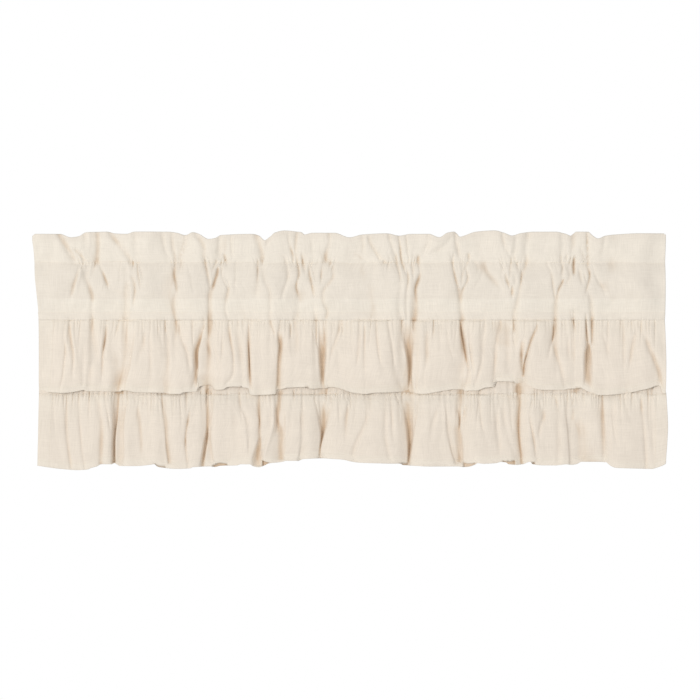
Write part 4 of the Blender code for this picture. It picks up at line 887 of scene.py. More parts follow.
    ("line", 1.5, (522, 274, 7), (522, 284, 4)),
)
print("creases of the lower ruffle:", len(LOWER_CREASES))

# %% The under panel's surface
PANEL_TOP, PANEL_EDGE = 142.9, 285.0            # drops
PANEL_FRONT = 12.0    # mm that its lower edge stands before the rod's plane
PANEL_BEHIND = ((143, 2.1), (157, 4.3), (285, 0))       # drop, and mm that it lies behind its wave
PANEL_WAVE = (        # x, depth and half width of each dip in its lower edge
    (-430, 2, 10), (-402, 9, 11), (-320, 4, 12), (-247, 6, 12), (-158, 3, 10), (-122, 4, 9),
    (-48, 7, 16), (101, 9, 16), (191, 5, 12), (295, 7, 11), (390, 5, 16), (440, 2, 12),
)
DIP_BLEND = 4.0       # power of the mean of those dips
PANEL_FOLLOWS = 0.3   # share of the upper ruffle's creases that the panel behind it has too,
PANEL_FREE = (15.0, 25.0)       # fading out over these mm at the panel's top and at its edge
LOWER_GATHERS = pick_pleats(*places_along(-525, 535, spacing=(2.6, 8.0), lean=0.1, seed=31),
                            seed=32, deep=(0.7, 3.3), half=(0.8, 1.5), above=(20, 45),
                            below=(12, 55))


def lower_wave(x):
    """y of the panel's lower edge: a power mean of bell-shaped dips."""
    dips = [deep * np.exp(-((x - at) / half) ** 2) for at, deep, half in PANEL_WAVE]
    return np.sum(np.power(dips, DIP_BLEND), axis=0) ** (1.0 / DIP_BLEND) - PANEL_FRONT


def seam_wave(x, drop):
    """y of the heading's layers where they lie together, from its lower seam to its edge."""
    drop = np.clip(drop, POCKET_SEAM, HEADING_EDGE)
    return heading_lay(x, drop) - smooth_read(*zip(*FRONT_LAYER), drop)


def edge_share(drop):
    """0 at the heading's edge and 1 at the panel's, along a soft S."""
    return ramp((drop - HEADING_EDGE) / (PANEL_EDGE - HEADING_EDGE))


def panel_lay(x, drop):
    """y of the panel without its gathers: the heading's wave above, its own edge's below."""
    upper = seam_wave(x, drop)
    high, low = PANEL_FREE
    both = ramp((drop - HEADING_EDGE) / high) * ramp((PANEL_EDGE - drop) / low)
    upper = upper + PANEL_FOLLOWS * both * np.maximum(relief(x, drop, UPPER_CREASES), 0.0)
    own = lower_wave(x) - upper + rumple(x, drop, *RUMPLES["panel"])
    return upper + edge_share(drop) * own


def panel_wave(x, drop):
    """y of the panel, with what the lower ruffle sewn to its edge draws into it."""
    drawn = pleat_depth(x, drop - PANEL_EDGE, LOWER_GATHERS)
    drawn += seam_relief(x, np.minimum(drop, PANEL_EDGE), LOWER_CREASES)
    return panel_lay(x, drop) + edge_share(drop) * drawn


# %% The under panel's grid
PANEL_COLUMNS = 620
PANEL_ENDS = ((POCKET_SEAM, HEADING_EDGE, PANEL_EDGE), (-541, -540, -539), (547, 546, 547))
panel_rows = np.concatenate([[PANEL_TOP, 147, 152], np.linspace(157, 250, 12),
                             np.linspace(256, PANEL_EDGE, 14)])


def panel_drops(x):
    """The drop of each point of the panel, whose rows are level."""
    return panel_rows[:, None] + 0.0 * x


panel_ends = [smooth_read(PANEL_ENDS[0], across, panel_rows) for across in PANEL_ENDS[1:]]
x, panel_wide = lay_columns(panel_ends, panel_wave, panel_drops, PANEL_COLUMNS)
drop = panel_drops(x)
x, y = shift_along_normal(x, panel_wave(x, drop), np.interp(drop, *zip(*PANEL_BEHIND)))
panel_points = np.stack([x, y, -drop], axis=-1)
print("under panel:", panel_points.shape, "cloth width", round(panel_wide), "mm")

# %% [markdown]
# ## The ruffles: their hems
#
# A ruffle starts in small pleats on its gathering thread and falls in lobes that get wider
# towards the hem. The deep troughs between two lobes reach back to the cloth behind, and the
# lobes' edges close over them. Both ruffles are made by the same functions, from tables of
# their own.

# %% The upper ruffle's hem
UPPER_HEM = (         # x and drop of places on it
    (-539, 284), (-520, 282), (-500, 283), (-482, 282), (-467, 279), (-461, 278), (-457, 280),
    (-399, 281), (-396, 279), (-388, 279), (-372, 282), (-324, 283), (-307, 285), (-294, 285),
    (-289, 282), (-268, 281), (-264, 279), (-262, 273), (-254, 270), (-245, 269), (-238, 273),
    (-233, 278), (-219, 277), (-213, 273), (-203, 272), (-189, 272), (-186, 273), (-176, 275),
    (-174, 285), (-164, 287), (-129, 285), (-127, 277), (-122, 277), (-108, 274), (-74, 273),
    (-72, 275), (-65, 276), (-50, 275), (-40, 275), (-38, 273), (-28, 273), (-19, 275),
    (-10, 278), (2, 282), (7, 283), (26, 285), (41, 283), (74, 282), (89, 281), (105, 282),
    (116, 284), (126, 285), (147, 282), (159, 280), (170, 278), (177, 277), (197, 277),
    (199, 280), (207, 279), (219, 279), (234, 274), (250, 272), (252, 266), (255, 263),
    (270, 263), (284, 264), (286, 267), (297, 268), (302, 268), (304, 271), (310, 273),
    (335, 278), (371, 278), (378, 276), (401, 275), (406, 277), (413, 281), (419, 283),
    (425, 286), (435, 287), (456, 286), (483, 283), (501, 279), (518, 275), (534, 270),
    (538, 272), (541, 282), (544, 284), (548, 284),
)
print("places along the upper hem:", len(UPPER_HEM))

# %% The lower ruffle's hem, and where the two hems are rolled back
LOWER_HEM = (
    (-542, 408), (-523, 411), (-500, 414), (-471, 416), (-454, 415), (-446, 412), (-438, 410),
    (-430, 406), (-412, 406), (-408, 404), (-404, 406), (-398, 409), (-370, 409), (-345, 407),
    (-338, 406), (-334, 410), (-326, 412), (-300, 414), (-276, 413), (-272, 411), (-242, 410),
    (-234, 411), (-224, 409), (-195, 408), (-189, 406), (-173, 406), (-168, 409), (-158, 411),
    (-150, 409), (-138, 404), (-125, 403), (-114, 401), (-112, 400), (-90, 400), (-80, 397),
    (-50, 396), (-28, 397), (-13, 398), (1, 401), (14, 403), (41, 404), (74, 405), (87, 405),
    (92, 408), (116, 409), (139, 410), (184, 410), (198, 411), (207, 410), (217, 406),
    (220, 404), (231, 405), (252, 404), (261, 402), (270, 403), (274, 406), (289, 407),
    (299, 406), (311, 402), (316, 406), (335, 408), (353, 408), (364, 407), (374, 406),
    (383, 407), (392, 406), (401, 402), (426, 402), (444, 403), (448, 407), (459, 412),
    (483, 413), (522, 414), (530, 412), (543, 407), (546, 405),
)
UPPER_CURLS = (       # left and right end, drop of the fold there and in the middle, its depth
    (-263, -248, 277, 275, 272, 3), (-190, -186, 269, 270, 272, 3), (279, 297, 266, 266, 265, 3),
    (391, 402, 272, 273, 272, 3), (-78, -70, 271, 271, 272, 3),
)
LOWER_CURLS = (
    (-338, -318, 405, 408, 409, 6), (-239, -211, 408, 403, 405, 8), (-153, -137, 398, 401, 403, 9),
    (86, 101, 404, 404, 404, 8), (195, 218, 402, 404, 402, 6), (263, 287, 399, 400, 398, 7),
    (314, 321, 402, 402, 401, 7),
)
print("places along the lower hem:", len(LOWER_HEM))

# %% [markdown]
# ## The ruffles: their shape
#
# A point of a ruffle stands before the cloth that carries it. How far is the ruffle's reach at
# that share of its length, less the creases there; and where a crease is deeper than the reach,
# the cloth rests softly against what is behind. The hem is turned up twice and sewn, which
# stiffens it: a thicker band with a dent along its stitches, and a slight curl at the very edge.
# At some places the edge is rolled back further, along a short fold just above it. The upper
# ruffle stands out most halfway down and its hem swings back to the panel. The lower one stands
# out further and further down to its hem.

# %% A ruffle's surface
class Ruffle(NamedTuple):
    """What makes one ruffle differ from the other. Sizes are in mm."""

    seam: float         # drop of its seam
    hem: tuple          # table of x and drop
    ends: tuple         # x of its left end, and of its right one, at the shares END_SHARES
    creases: tuple
    gathers: Pleats
    drawn: float        # share of its gathers that the cloth at its seam has too
    carrier: Callable   # carrier(x, drop) is the y of what it hangs before
    reach: float        # how far it stands out where its flare is 1
    flare: tuple        # table of the share of its length and that of its reach
    curls: tuple        # where its hem is rolled back
    seed: int           # of its rumples, together with the number that each of them adds


TUCK = 2.8            # mm of a ruffle's top that lie behind the edge it is sewn to
HELD, FREED = 0.5, 4.0          # mm: it comes free from HELD above its seam, over FREED
SEAM_RUN = 20.0       # mm below its seam in which a ruffle's troughs leave the seam's
REST = 1.2            # mm, how softly a trough comes to rest on the cloth behind
SWING = ((0, 0.55), (0.45, 0.9), (1, 0.7))      # how much of a table's depths shows, by share
END_SHARES = (0.0, 0.45, 1.0)   # shares of its length at which its two ends are given
HEM_TALL = 12.0       # mm, height of the turned-up hem
HEM_STEP = 1.6        # mm over which its layers begin
HEM_THICK = 0.35      # mm that the hem's layers add on the front
HEM_STITCH = 9.5      # mm from the edge to the hem's stitches
DENT, DENT_WIDE = 0.3, 1.3      # mm, depth of their dent, and its height to either side
CURL, CURL_TALL = 0.8, 7.0      # mm that the edge curls, and how far up
PUCKER, PUCKER_TALL = 0.07, 12.0                # mm that the stitches pucker it, and how far up
ROLL_SIDES, ROLL_FOLD = 2.5, 1.6                # mm over which it rolls, sideways and at its fold
RUFFLE_RUMPLES = {    # mm from wave to wave, how high, and a number for the seed
    "curl": (46.0, 1.0, 2),
    "uneven": (42.0, 0.45, 3),
    "pucker": (12.0, 1.0, 4),
    "swells": (70.0, 1.8, 5),
}
RUFFLE_SWELL_RUN = 0.2          # how much a drop counts in a ruffle's long swells


def curl_depth(x, drop, curls):
    """How far the edge is rolled back below its short folds."""
    total = np.zeros(x.shape)
    for left, right, start, middle, end, deep in curls:
        fold = smooth_read((left, 0.5 * (left + right), right), (start, middle, end), x)
        rolled = deep * ramp((x - left) / ROLL_SIDES) * ramp((right - x) / ROLL_SIDES)
        total += rolled * ramp((drop - fold) / ROLL_FOLD)
    return total


def ruffle_rumple(x, drop, name, seed):
    """One of a ruffle's rumples. The two ruffles have seeds of their own, so they differ."""
    length, height, more = RUFFLE_RUMPLES[name]
    return rumple(x, drop, length, height, seed + more)


def ruffle_wave(x, drop, made):
    """y of a ruffle: its carrier's wave, less what it stands out, plus hem, curls and rumple."""
    length = smooth_read(*zip(*made.hem), x) - made.seam
    below = drop - made.seam
    share = np.clip(below / length, 0.0, 1.0)
    leaves = np.exp(-(np.maximum(below, 0.0) / SEAM_RUN) ** 2)
    at_seam = seam_relief(x, drop, made.creases) * leaves
    swing = smooth_read(*zip(*SWING), share) * relief(x, drop, made.creases)
    out = made.reach * smooth_read(*zip(*made.flare), share) + at_seam - swing
    out = 0.5 * (out + np.sqrt(out ** 2 + REST ** 2))

    above_edge = length - below
    band = HEM_THICK * ramp((HEM_TALL + 0.5 * HEM_STEP - above_edge) / HEM_STEP)
    dent = DENT * np.exp(-((above_edge - HEM_STITCH) / DENT_WIDE) ** 2)
    curl = CURL * ramp(1.0 - above_edge / CURL_TALL)
    curl *= ruffle_rumple(x, 0.0 * x, "curl", made.seed)
    pucker = PUCKER * np.exp(-(above_edge / PUCKER_TALL) ** 2)
    pucker *= ruffle_rumple(x, 0.0 * x, "pucker", made.seed)
    uneven = ruffle_rumple(x, drop, "uneven", made.seed)
    uneven += ruffle_rumple(x, RUFFLE_SWELL_RUN * drop, "swells", made.seed)

    free = ramp((below + HELD) / FREED)
    gathered = (made.drawn + (1.0 - made.drawn) * free) * pleat_depth(x, below, made.gathers)
    base = made.carrier(x, drop) + at_seam + gathered
    hanging = base - free * (out + band - dent - uneven - pucker - curl)
    return hanging + curl_depth(x, drop, made.curls)


# %% The two ruffles' grids
RUFFLE_COLUMNS = 1060
CLEARS = (            # mm below the heading's edge, and mm that the upper ruffle clears the panel
    (-0.6, -0.5), (0.3, -0.12), (6, 1.0), (18, 2.2), (90, 1.8), (120, 0.4),
)
TUCKED = ((-0.6, 0.5), (0.3, 0.12))             # and the same of the lower one, behind the edge
ruffle_rows = np.concatenate([  # shares of a ruffle's length with its tuck
    [0.0, 0.014, 0.024], np.linspace(0.033, 0.11, 8), np.linspace(0.14, 0.87, 24),
    np.linspace(0.895, 1.0, 9),
])


def ruffle_points(made):
    """The grid of one ruffle, as (row, column, xyz), and its cloth's mean width."""
    ends = [smooth_read(END_SHARES, end, ruffle_rows) for end in made.ends]

    def drops_of(x):
        edge = smooth_read(*zip(*made.hem), x)
        return made.seam - TUCK + ruffle_rows[:, None] * (edge - made.seam + TUCK)

    def wave(x, drop):
        return ruffle_wave(x, drop, made)

    x, wide = lay_columns(ends, wave, drops_of, RUFFLE_COLUMNS)
    drop = drops_of(x)
    return np.stack([x, wave(x, drop), -drop], axis=-1), wide


def upper_carrier(x, drop):
    """What the upper ruffle hangs before: the heading's edge, then clear of the panel."""
    return panel_lay(x, drop) - np.interp(drop - HEADING_EDGE, *zip(*CLEARS))


def lower_carrier(x, drop):
    """The lower ruffle's top lies just behind the panel's edge."""
    return lower_wave(x) + np.interp(drop - PANEL_EDGE, *zip(*TUCKED))


upper_ruffle = Ruffle(
    seam=HEADING_EDGE, hem=UPPER_HEM, ends=((-539, -538, -539), (546, 547, 547)),
    creases=UPPER_CREASES, gathers=UPPER_GATHERS, drawn=EDGE_DRAWN, carrier=upper_carrier,
    reach=13.0, curls=UPPER_CURLS, seed=21,
    flare=((0, 0), (0.03, 0.05), (0.1, 0.2), (0.3, 0.56), (0.55, 0.86), (0.8, 0.66), (1, 0.06)),
)
lower_ruffle = Ruffle(
    seam=PANEL_EDGE, hem=LOWER_HEM, ends=((-539, -539, -540), (548, 550, 546)),
    creases=LOWER_CREASES, gathers=LOWER_GATHERS, drawn=1.0, carrier=lower_carrier,
    reach=13.5, curls=LOWER_CURLS, seed=31,
    flare=((0, 0), (0.03, 0.04), (0.1, 0.17), (0.3, 0.5), (0.55, 0.8), (1, 1)),
)
upper_points, upper_wide = ruffle_points(upper_ruffle)
lower_points, lower_wide = ruffle_points(lower_ruffle)
print("ruffles:", upper_points.shape, "cloth widths", round(upper_wide), round(lower_wide), "mm")

# %% [markdown]
# ## From grids to cloth
#
# Each grid becomes a mesh with numpy alone. Its UV map is the cloth laid flat, in metres: the
# length walked along each row across, and the length walked down the columns. So the weave
# follows every fold, as it does on real cloth.
#
# Two more numbers at each point help the material. "layers" says how many thicknesses lie there,
# because doubled muslin lets less of the shade behind it through and looks paler. "fold" says how
# deep the point lies between the cloth on both its sides, and the material paints shade there: a
# darker tan, for light that gets into a fold passes through thin cotton again and again, and turns
# tan on the way. Painted shade under the upper hem and on rolled-back edges goes into it as well.
#
# Solidify gives the sheet its half millimetre.

# %% The functions that make a sheet
THICK = 0.5           # mm, what muslin with its nap takes up
FOLD_LOOKS = 14       # columns to either side in which a fold's walls are looked for
VALLEY_LOOKS = 45     # and those of a broad valley between two lobes
VALLEY_SHADE_SHARE = 0.42   # how strong a valley's painted shade is beside a fold's
FOLD_SHADE_DEPTHS = (0.8, 8.5)         # mm of depth at which a fold's painted shade starts and is full
VALLEY_SHADE_DEPTHS = (4.5, 12.0)
HEM_SHADE = ((-14, 0), (-4, 0.12), (1, 0.14), (5, 0.08), (15, 0))  # painted shade by mm below the upper hem
CURL_SHADE = 0.13      # painted shade of an edge that is rolled back, for each mm


def new_object(name, data):
    """An object at the origin that shows a mesh, a camera or a light, linked into the scene."""
    made = bpy.data.objects.new(name, data)
    bpy.context.scene.collection.objects.link(made)
    return made


def fold_shade_of(points, looks, tints):
    """Painted shade: 0 on open cloth to 1 deep in a fold, by the lesser of the two sides' rise in
    front of it.
    """
    y = points[..., 1]
    rises = []
    for way in (1, -1):
        front = y.copy()
        for step in range(1, looks + 1):
            beside = np.roll(y, way * step, axis=1)
            edge = slice(0, step) if way > 0 else slice(-step, None)
            beside[:, edge] = y[:, edge]
            front = np.minimum(front, beside)
        rises.append(y - front)
    return ramp((np.minimum(*rises) - tints[0]) / (tints[1] - tints[0]))


def across_cloth(points, wide):
    """Flat place of each point, mm: the length walked along its row, scaled to the width."""
    steps = np.linalg.norm(np.diff(points, axis=1), axis=-1)
    walked = np.concatenate([np.zeros((len(points), 1)), np.cumsum(steps, axis=1)], axis=1)
    return wide * walked / walked[:, -1:]


def painted_hem_shade(points):
    """Painted shade on what the upper ruffle's hem overhangs, where little light gets in from
    above.
    """
    below = -points[..., 2] - smooth_read(*zip(*UPPER_HEM), points[..., 0])
    return smooth_read(*zip(*HEM_SHADE), below)


def painted_curl_shade(points, curls):
    """Painted shade on a rolled edge: there the underside shows, turned from the light."""
    return np.minimum(CURL_SHADE * curl_depth(points[..., 0], -points[..., 2], curls), 1.0)


def cloth_mesh(name, points, wide, layers, shaded):
    """A mesh of quads from a grid of points in mm. wide is the cloth's flat width, mm."""
    rows, columns = points.shape[:2]
    index = np.arange(rows * columns).reshape(rows, columns)
    quads = np.stack([index[:-1, :-1], index[1:, :-1], index[1:, 1:], index[:-1, 1:]], axis=-1)
    quads = quads.reshape(-1, 4)
    mesh = bpy.data.meshes.new(name)
    mesh.vertices.add(rows * columns)
    mesh.vertices.foreach_set("co", (points * MM).astype(np.float32).ravel())
    mesh.loops.add(quads.size)
    mesh.loops.foreach_set("vertex_index", quads.astype(np.int32).ravel())
    mesh.polygons.add(len(quads))
    mesh.polygons.foreach_set("loop_start", np.arange(0, quads.size, 4, dtype=np.int32))
    mesh.update(calc_edges=True)
    mesh.shade_smooth()

    down = np.linalg.norm(np.diff(points, axis=0), axis=-1).mean(axis=1)
    walked = np.concatenate([[0.0], np.cumsum(down)])
    flat = np.stack([across_cloth(points, wide), np.repeat(walked[:, None], columns, 1)], axis=-1)
    uv = mesh.uv_layers.new(name="cloth")
    uv.data.foreach_set("uv", (flat.reshape(-1, 2)[quads.ravel()] * MM).astype(np.float32).ravel())
    # The "fold" attribute is painted shade: of folds and valleys, under the upper hem and on
    # rolled edges.
    fold = np.maximum(fold_shade_of(points, FOLD_LOOKS, FOLD_SHADE_DEPTHS), shaded)
    fold = np.maximum(fold, VALLEY_SHADE_SHARE * fold_shade_of(points, VALLEY_LOOKS, VALLEY_SHADE_DEPTHS))
    for mark, values in (("layers", layers), ("fold", fold)):
        values = values.astype(np.float32).ravel()
        mesh.attributes.new(mark, "FLOAT", "POINT").data.foreach_set("value", values)
    return mesh, float(walked[-1])


def cloth_object(name, points, wide, layers, shaded=0.0):
    """The mesh as an object at the origin, with its thickness."""
    mesh, long = cloth_mesh(name, points, wide, layers, shaded)
    cloth = new_object(name, mesh)
    solid = cloth.modifiers.new("thickness", "SOLIDIFY")
    solid.thickness = THICK * MM
    solid.offset = 0.0
    print(name, len(mesh.polygons), "faces,", round(wide), "x", round(long), "mm of cloth")
    return cloth, long


# %% Where the cloth is doubled
GATHERED = 26.0       # mm below a ruffle's top in which its pleats lie one on another
SIDE_HEM = 22.0       # mm, width of the turned-in sides
TURNING = 22.0        # mm, the turned-in end of the back layer, at the bottom of the pocket
TOP_BAND = 10.0       # mm, the rounded top, where the two layers stand off each other
SOFT_EDGE = 1.5       # mm over which any of these begins or ends
OUTSIDE = -20.0       # mm, a drop that is above all of the cloth
MORE_LAYERS = {       # what each adds to one layer, by how pale it looks
    "header": 0.6, "turning": 1.2, "top": -0.5, "side hem": 0.25, "hem": 0.6, "gathers": 0.6,
}


def inside(depth):
    """1 where a point is inside a band, so its depth in it is above 0, else 0, softly."""
    return ramp(depth / SOFT_EDGE + 0.5)


def side_hems(points, wide):
    """What the side hems add at either end."""
    across = across_cloth(points, wide)
    return MORE_LAYERS["side hem"] * inside(SIDE_HEM - np.minimum(across, wide - across))


def doubled_band(drop, start, end, name):
    """What a band of the heading between two drops adds."""
    return MORE_LAYERS[name] * (inside(drop - start) * inside(end - drop))


drop = -heading_points[..., 2]
over_top = drop - top_of(heading_points[..., 0])
drop = drop - sway(heading_points[..., 0], drop)
heading_layers = 1.0 + doubled_band(drop, OUTSIDE, HEADER_SEAM, "header")
heading_layers += doubled_band(drop, POCKET_SEAM - TURNING, POCKET_SEAM, "turning")
heading_layers += doubled_band(over_top, OUTSIDE, TOP_BAND, "top")
heading_layers += side_hems(heading_points, heading_wide)
panel_layers = 1.0 + side_hems(panel_points, panel_wide)


def edge_height(points, hem):
    """Height of each point above its ruffle's edge, mm."""
    return smooth_read(*zip(*hem), points[..., 0]) + points[..., 2]


def ruffle_layers(points, wide, hem):
    """Layers of a ruffle: one, and more in its hem, its side hems and where gathers press it."""
    edge = edge_height(points, hem)
    pressed = np.exp(-((edge.max(axis=0) - edge) / GATHERED) ** 2)
    hems = MORE_LAYERS["hem"] * inside(HEM_TALL - edge) + side_hems(points, wide)
    return 1.0 + MORE_LAYERS["gathers"] * pressed + hems


# %% The four cloths, each in the place of its plain solid
heading, heading_long = cloth_object("heading_cloth", heading_points, heading_wide,
                                     heading_layers)
# The panel and the lower ruffle get painted shade under the upper hem; the ruffles on rolled
# edges.
panel, panel_long = cloth_object("under_panel_cloth", panel_points, panel_wide, panel_layers,
                                 painted_hem_shade(panel_points))
upper, upper_long = cloth_object("upper_ruffle_cloth", upper_points, upper_wide,
                                 ruffle_layers(upper_points, upper_wide, UPPER_HEM),
                                 painted_curl_shade(upper_points, UPPER_CURLS))
lower, lower_long = cloth_object("lower_ruffle_cloth", lower_points, lower_wide,
                                 ruffle_layers(lower_points, lower_wide, LOWER_HEM),
                                 painted_hem_shade(lower_points) + painted_curl_shade(lower_points, LOWER_CURLS))

# %% [markdown]
# ## Stitches
#
# Two lines of lockstitch close the pocket. On each ruffle one runs along the hem and one down
# each side hem. A stitch is a short bead of thread, bent so that both its ends dive into the
# cloth. All stitches of one cloth are a single mesh: the same small tube, placed by whole arrays
# along a row or a column of the sheet.

# %% The functions that lay a line of stitches
STITCH, STITCH_GAP = 2.6, 0.5   # mm, length of a stitch and of the hole between two
THREAD = 0.42                   # mm, thickness of the thread
LIFT = 0.12                     # mm that a stitch's middle rises over the cloth
ENDS_THIN = 0.35                # share of its thickness that a stitch keeps at both ends
UNSEWN = 2.0                    # mm of cloth at both ends of a line
RINGS, SIDES = 5, 6             # of the small tube: points along it, and round it


def stitch_line(line, normals):
    """Points (stitch, ring, side, xyz) of the stitches along a line, in mm.

    A stitch's middle rises over the cloth and its ends sink in: the height is LIFT times a
    half sine. The tube's radius is half the thread's thickness, drawn in at both ends.
    """
    steps = np.linalg.norm(np.diff(line, axis=0), axis=-1)
    walked = np.concatenate([[0.0], np.cumsum(steps)])
    starts = np.arange(UNSEWN, walked[-1] - STITCH - UNSEWN, STITCH + STITCH_GAP)
    along = np.linspace(0.0, 1.0, RINGS)
    at = starts[:, None] + STITCH * along
    middle = np.stack([np.interp(at, walked, line[:, k]) for k in range(3)], axis=-1)
    up = np.stack([np.interp(at, walked, normals[:, k]) for k in range(3)], axis=-1)
    forward = np.gradient(middle, axis=1)
    forward /= np.linalg.norm(forward, axis=-1, keepdims=True)
    aside = np.cross(forward, up)
    aside /= np.linalg.norm(aside, axis=-1, keepdims=True)
    up = np.cross(aside, forward)
    middle = middle + up * (LIFT * np.sin(np.pi * along) + 0.5 * THICK)[None, :, None]
    full = np.sin(np.pi * along) ** 0.5
    radius = 0.5 * THREAD * (ENDS_THIN + (1.0 - ENDS_THIN) * full)
    turn = 2.0 * np.pi * np.arange(SIDES)[:, None] / SIDES
    around = np.cos(turn) * aside[:, :, None, :] + np.sin(turn) * up[:, :, None, :]
    return middle[:, :, None, :] + radius[None, :, None, None] * around


def stitch_mesh(name, lines):
    """One closed mesh of many stitches: tubes whose two ends are shut with a face each."""
    beads = np.concatenate(lines)
    count = len(beads)
    ring = np.arange(SIDES)
    following = (ring + 1) % SIDES
    start = SIDES * np.arange(RINGS - 1)[:, None]
    sides = np.stack([start + ring, start + SIDES + ring,
                      start + SIDES + following, start + following], axis=-1).reshape(-1, 4)
    first = (np.arange(count) * RINGS * SIDES)[:, None, None]
    walls = (first + sides).reshape(-1, 4)
    ends = np.concatenate([first[:, 0] + ring, first[:, 0] + (RINGS - 1) * SIDES + ring[::-1]])
    mesh = bpy.data.meshes.new(name)
    mesh.from_pydata((beads.reshape(-1, 3) * MM).tolist(), [], walls.tolist() + ends.tolist())
    mesh.shade_smooth()
    print(name, count, "stitches")
    return new_object(name, mesh)


def row_normals(points):
    """Unit normals of a grid, towards the front of the first row."""
    normal = np.cross(np.gradient(points, axis=0), np.gradient(points, axis=1))
    return normal / np.linalg.norm(normal, axis=-1, keepdims=True)


# %% Stitches of the heading and of the ruffles
def nearest(values, wanted):
    """Place in an array of the value nearest to the wanted one."""
    return int(np.argmin(np.abs(values - wanted)))


heading_front = heading_points[:len(front_rows)]
front_normals = -row_normals(heading_front)
heading_seams = [nearest(front_rows, seam) for seam in (HEADER_SEAM, POCKET_SEAM)]
heading_stitches = stitch_mesh("heading_stitches", [
    stitch_line(heading_front[row], front_normals[row]) for row in heading_seams])


def hem_lines(points, wide, hem):
    """Lines along the hem and down the two side hems of a ruffle."""
    normals = row_normals(points)
    row = nearest(edge_height(points, hem).mean(axis=1), HEM_STITCH)
    across = across_cloth(points, wide).mean(axis=0)
    lines = [stitch_line(points[row], normals[row])]
    for side in (SIDE_HEM, wide - SIDE_HEM):
        column = nearest(across, side)
        lines.append(stitch_line(points[:, column], normals[:, column]))
    return lines


upper_stitches = stitch_mesh("upper_ruffle_stitches",
                             hem_lines(upper_points, upper_wide, UPPER_HEM))
lower_stitches = stitch_mesh("lower_ruffle_stitches",
                             hem_lines(lower_points, lower_wide, LOWER_HEM))

# %% [markdown]
# ## Materials: unbleached muslin and its thread
#
# Muslin is a plain weave of carded cotton, left in its natural cream. Its yarns are spun unevenly:
# here and there one is thicker for a few centimetres, a slub, and shows as a short faint line
# along or across the cloth. That, more than the weave itself, is what makes it look like muslin
# from a step away. The cloth is quite matt, with a soft bright fuzz at grazing angles.
#
# A picture of real cloth could be laid over it. Noise that is stretched along the threads does
# the same with no picture at all, at any size.

# %% One function that adds a node, one that reads a colour and one that empties a tree
def add_node(tree, kind, inputs=None, **settings):
    """A node of that kind with its settings. inputs gives an input a source or a value."""
    node = tree.nodes.new(kind)
    for name, value in settings.items():
        setattr(node, name, value)
    for name, value in (inputs or {}).items():
        if isinstance(value, bpy.types.NodeSocket):
            tree.links.new(value, node.inputs[name])
        else:
            node.inputs[name].default_value = value
    return node


def linear(colour):
    """An sRGB hex value such as "#EADFCE" as linear RGBA."""
    parts = np.array([int(colour[i:i + 2], 16) for i in (1, 3, 5)]) / 255.0
    dark = parts / 12.92
    bright = ((parts + 0.055) / 1.055) ** 2.4
    return (*np.where(parts <= 0.04045, dark, bright).tolist(), 1.0)


def new_tree(owner):
    """The node tree of a new material or world, with nothing in it."""
    owner.use_nodes = True
    owner.node_tree.nodes.clear()
    return owner.node_tree


# %% Unbleached cotton muslin
YARN = 0.9            # mm between yarns; the real 0.45 mm would be too fine for the render to show
SLUB = (36.0, 1.4)    # mm, length and width of a thick place in a yarn
CLOUDS = 45.0         # mm, size of the faint differences in shade over the cloth
BUMP = 0.16           # mm, height of yarns and slubs together
PAINTED_FOLD_SHADE = "#BE9C74"  # painted shade of a fold: the tan of light that has passed through the cloth a few times
FOLD_SHADE_SHARE = 0.62      # how much of that painted shade a deep fold takes on
WEAVE = {             # each noise's size across and along, mm, its detail and its own place
    "weft_slubs": (SLUB[0], SLUB[1], 2.0, 3.1),
    "warp_slubs": (SLUB[1], SLUB[0], 2.0, 7.7),
    "weft": (SLUB[0] * 0.5, YARN, 1.0, 11.3),
    "warp": (YARN, SLUB[0] * 0.5, 1.0, 17.9),
    "clouds": (CLOUDS, CLOUDS, 3.0, 23.0),
}
HEIGHT = {"weft_slubs": 0.42, "warp_slubs": 0.28, "weft": 0.25, "warp": 0.25}     # of the bump
TONE = {"weft_slubs": 0.14, "warp_slubs": 0.18, "weft": 0.07, "warp": 0.1, "clouds": 0.1}


def add_noises(tree, noises, shares, start):
    """start plus each noise times its share, as the output of a chain of Math nodes."""
    total = start
    for yarn, share in shares.items():
        total = add_node(tree, "ShaderNodeMath", {
            0: noises[yarn].outputs["Fac"], 1: share, 2: total},
            operation="MULTIPLY_ADD").outputs["Value"]
    return total


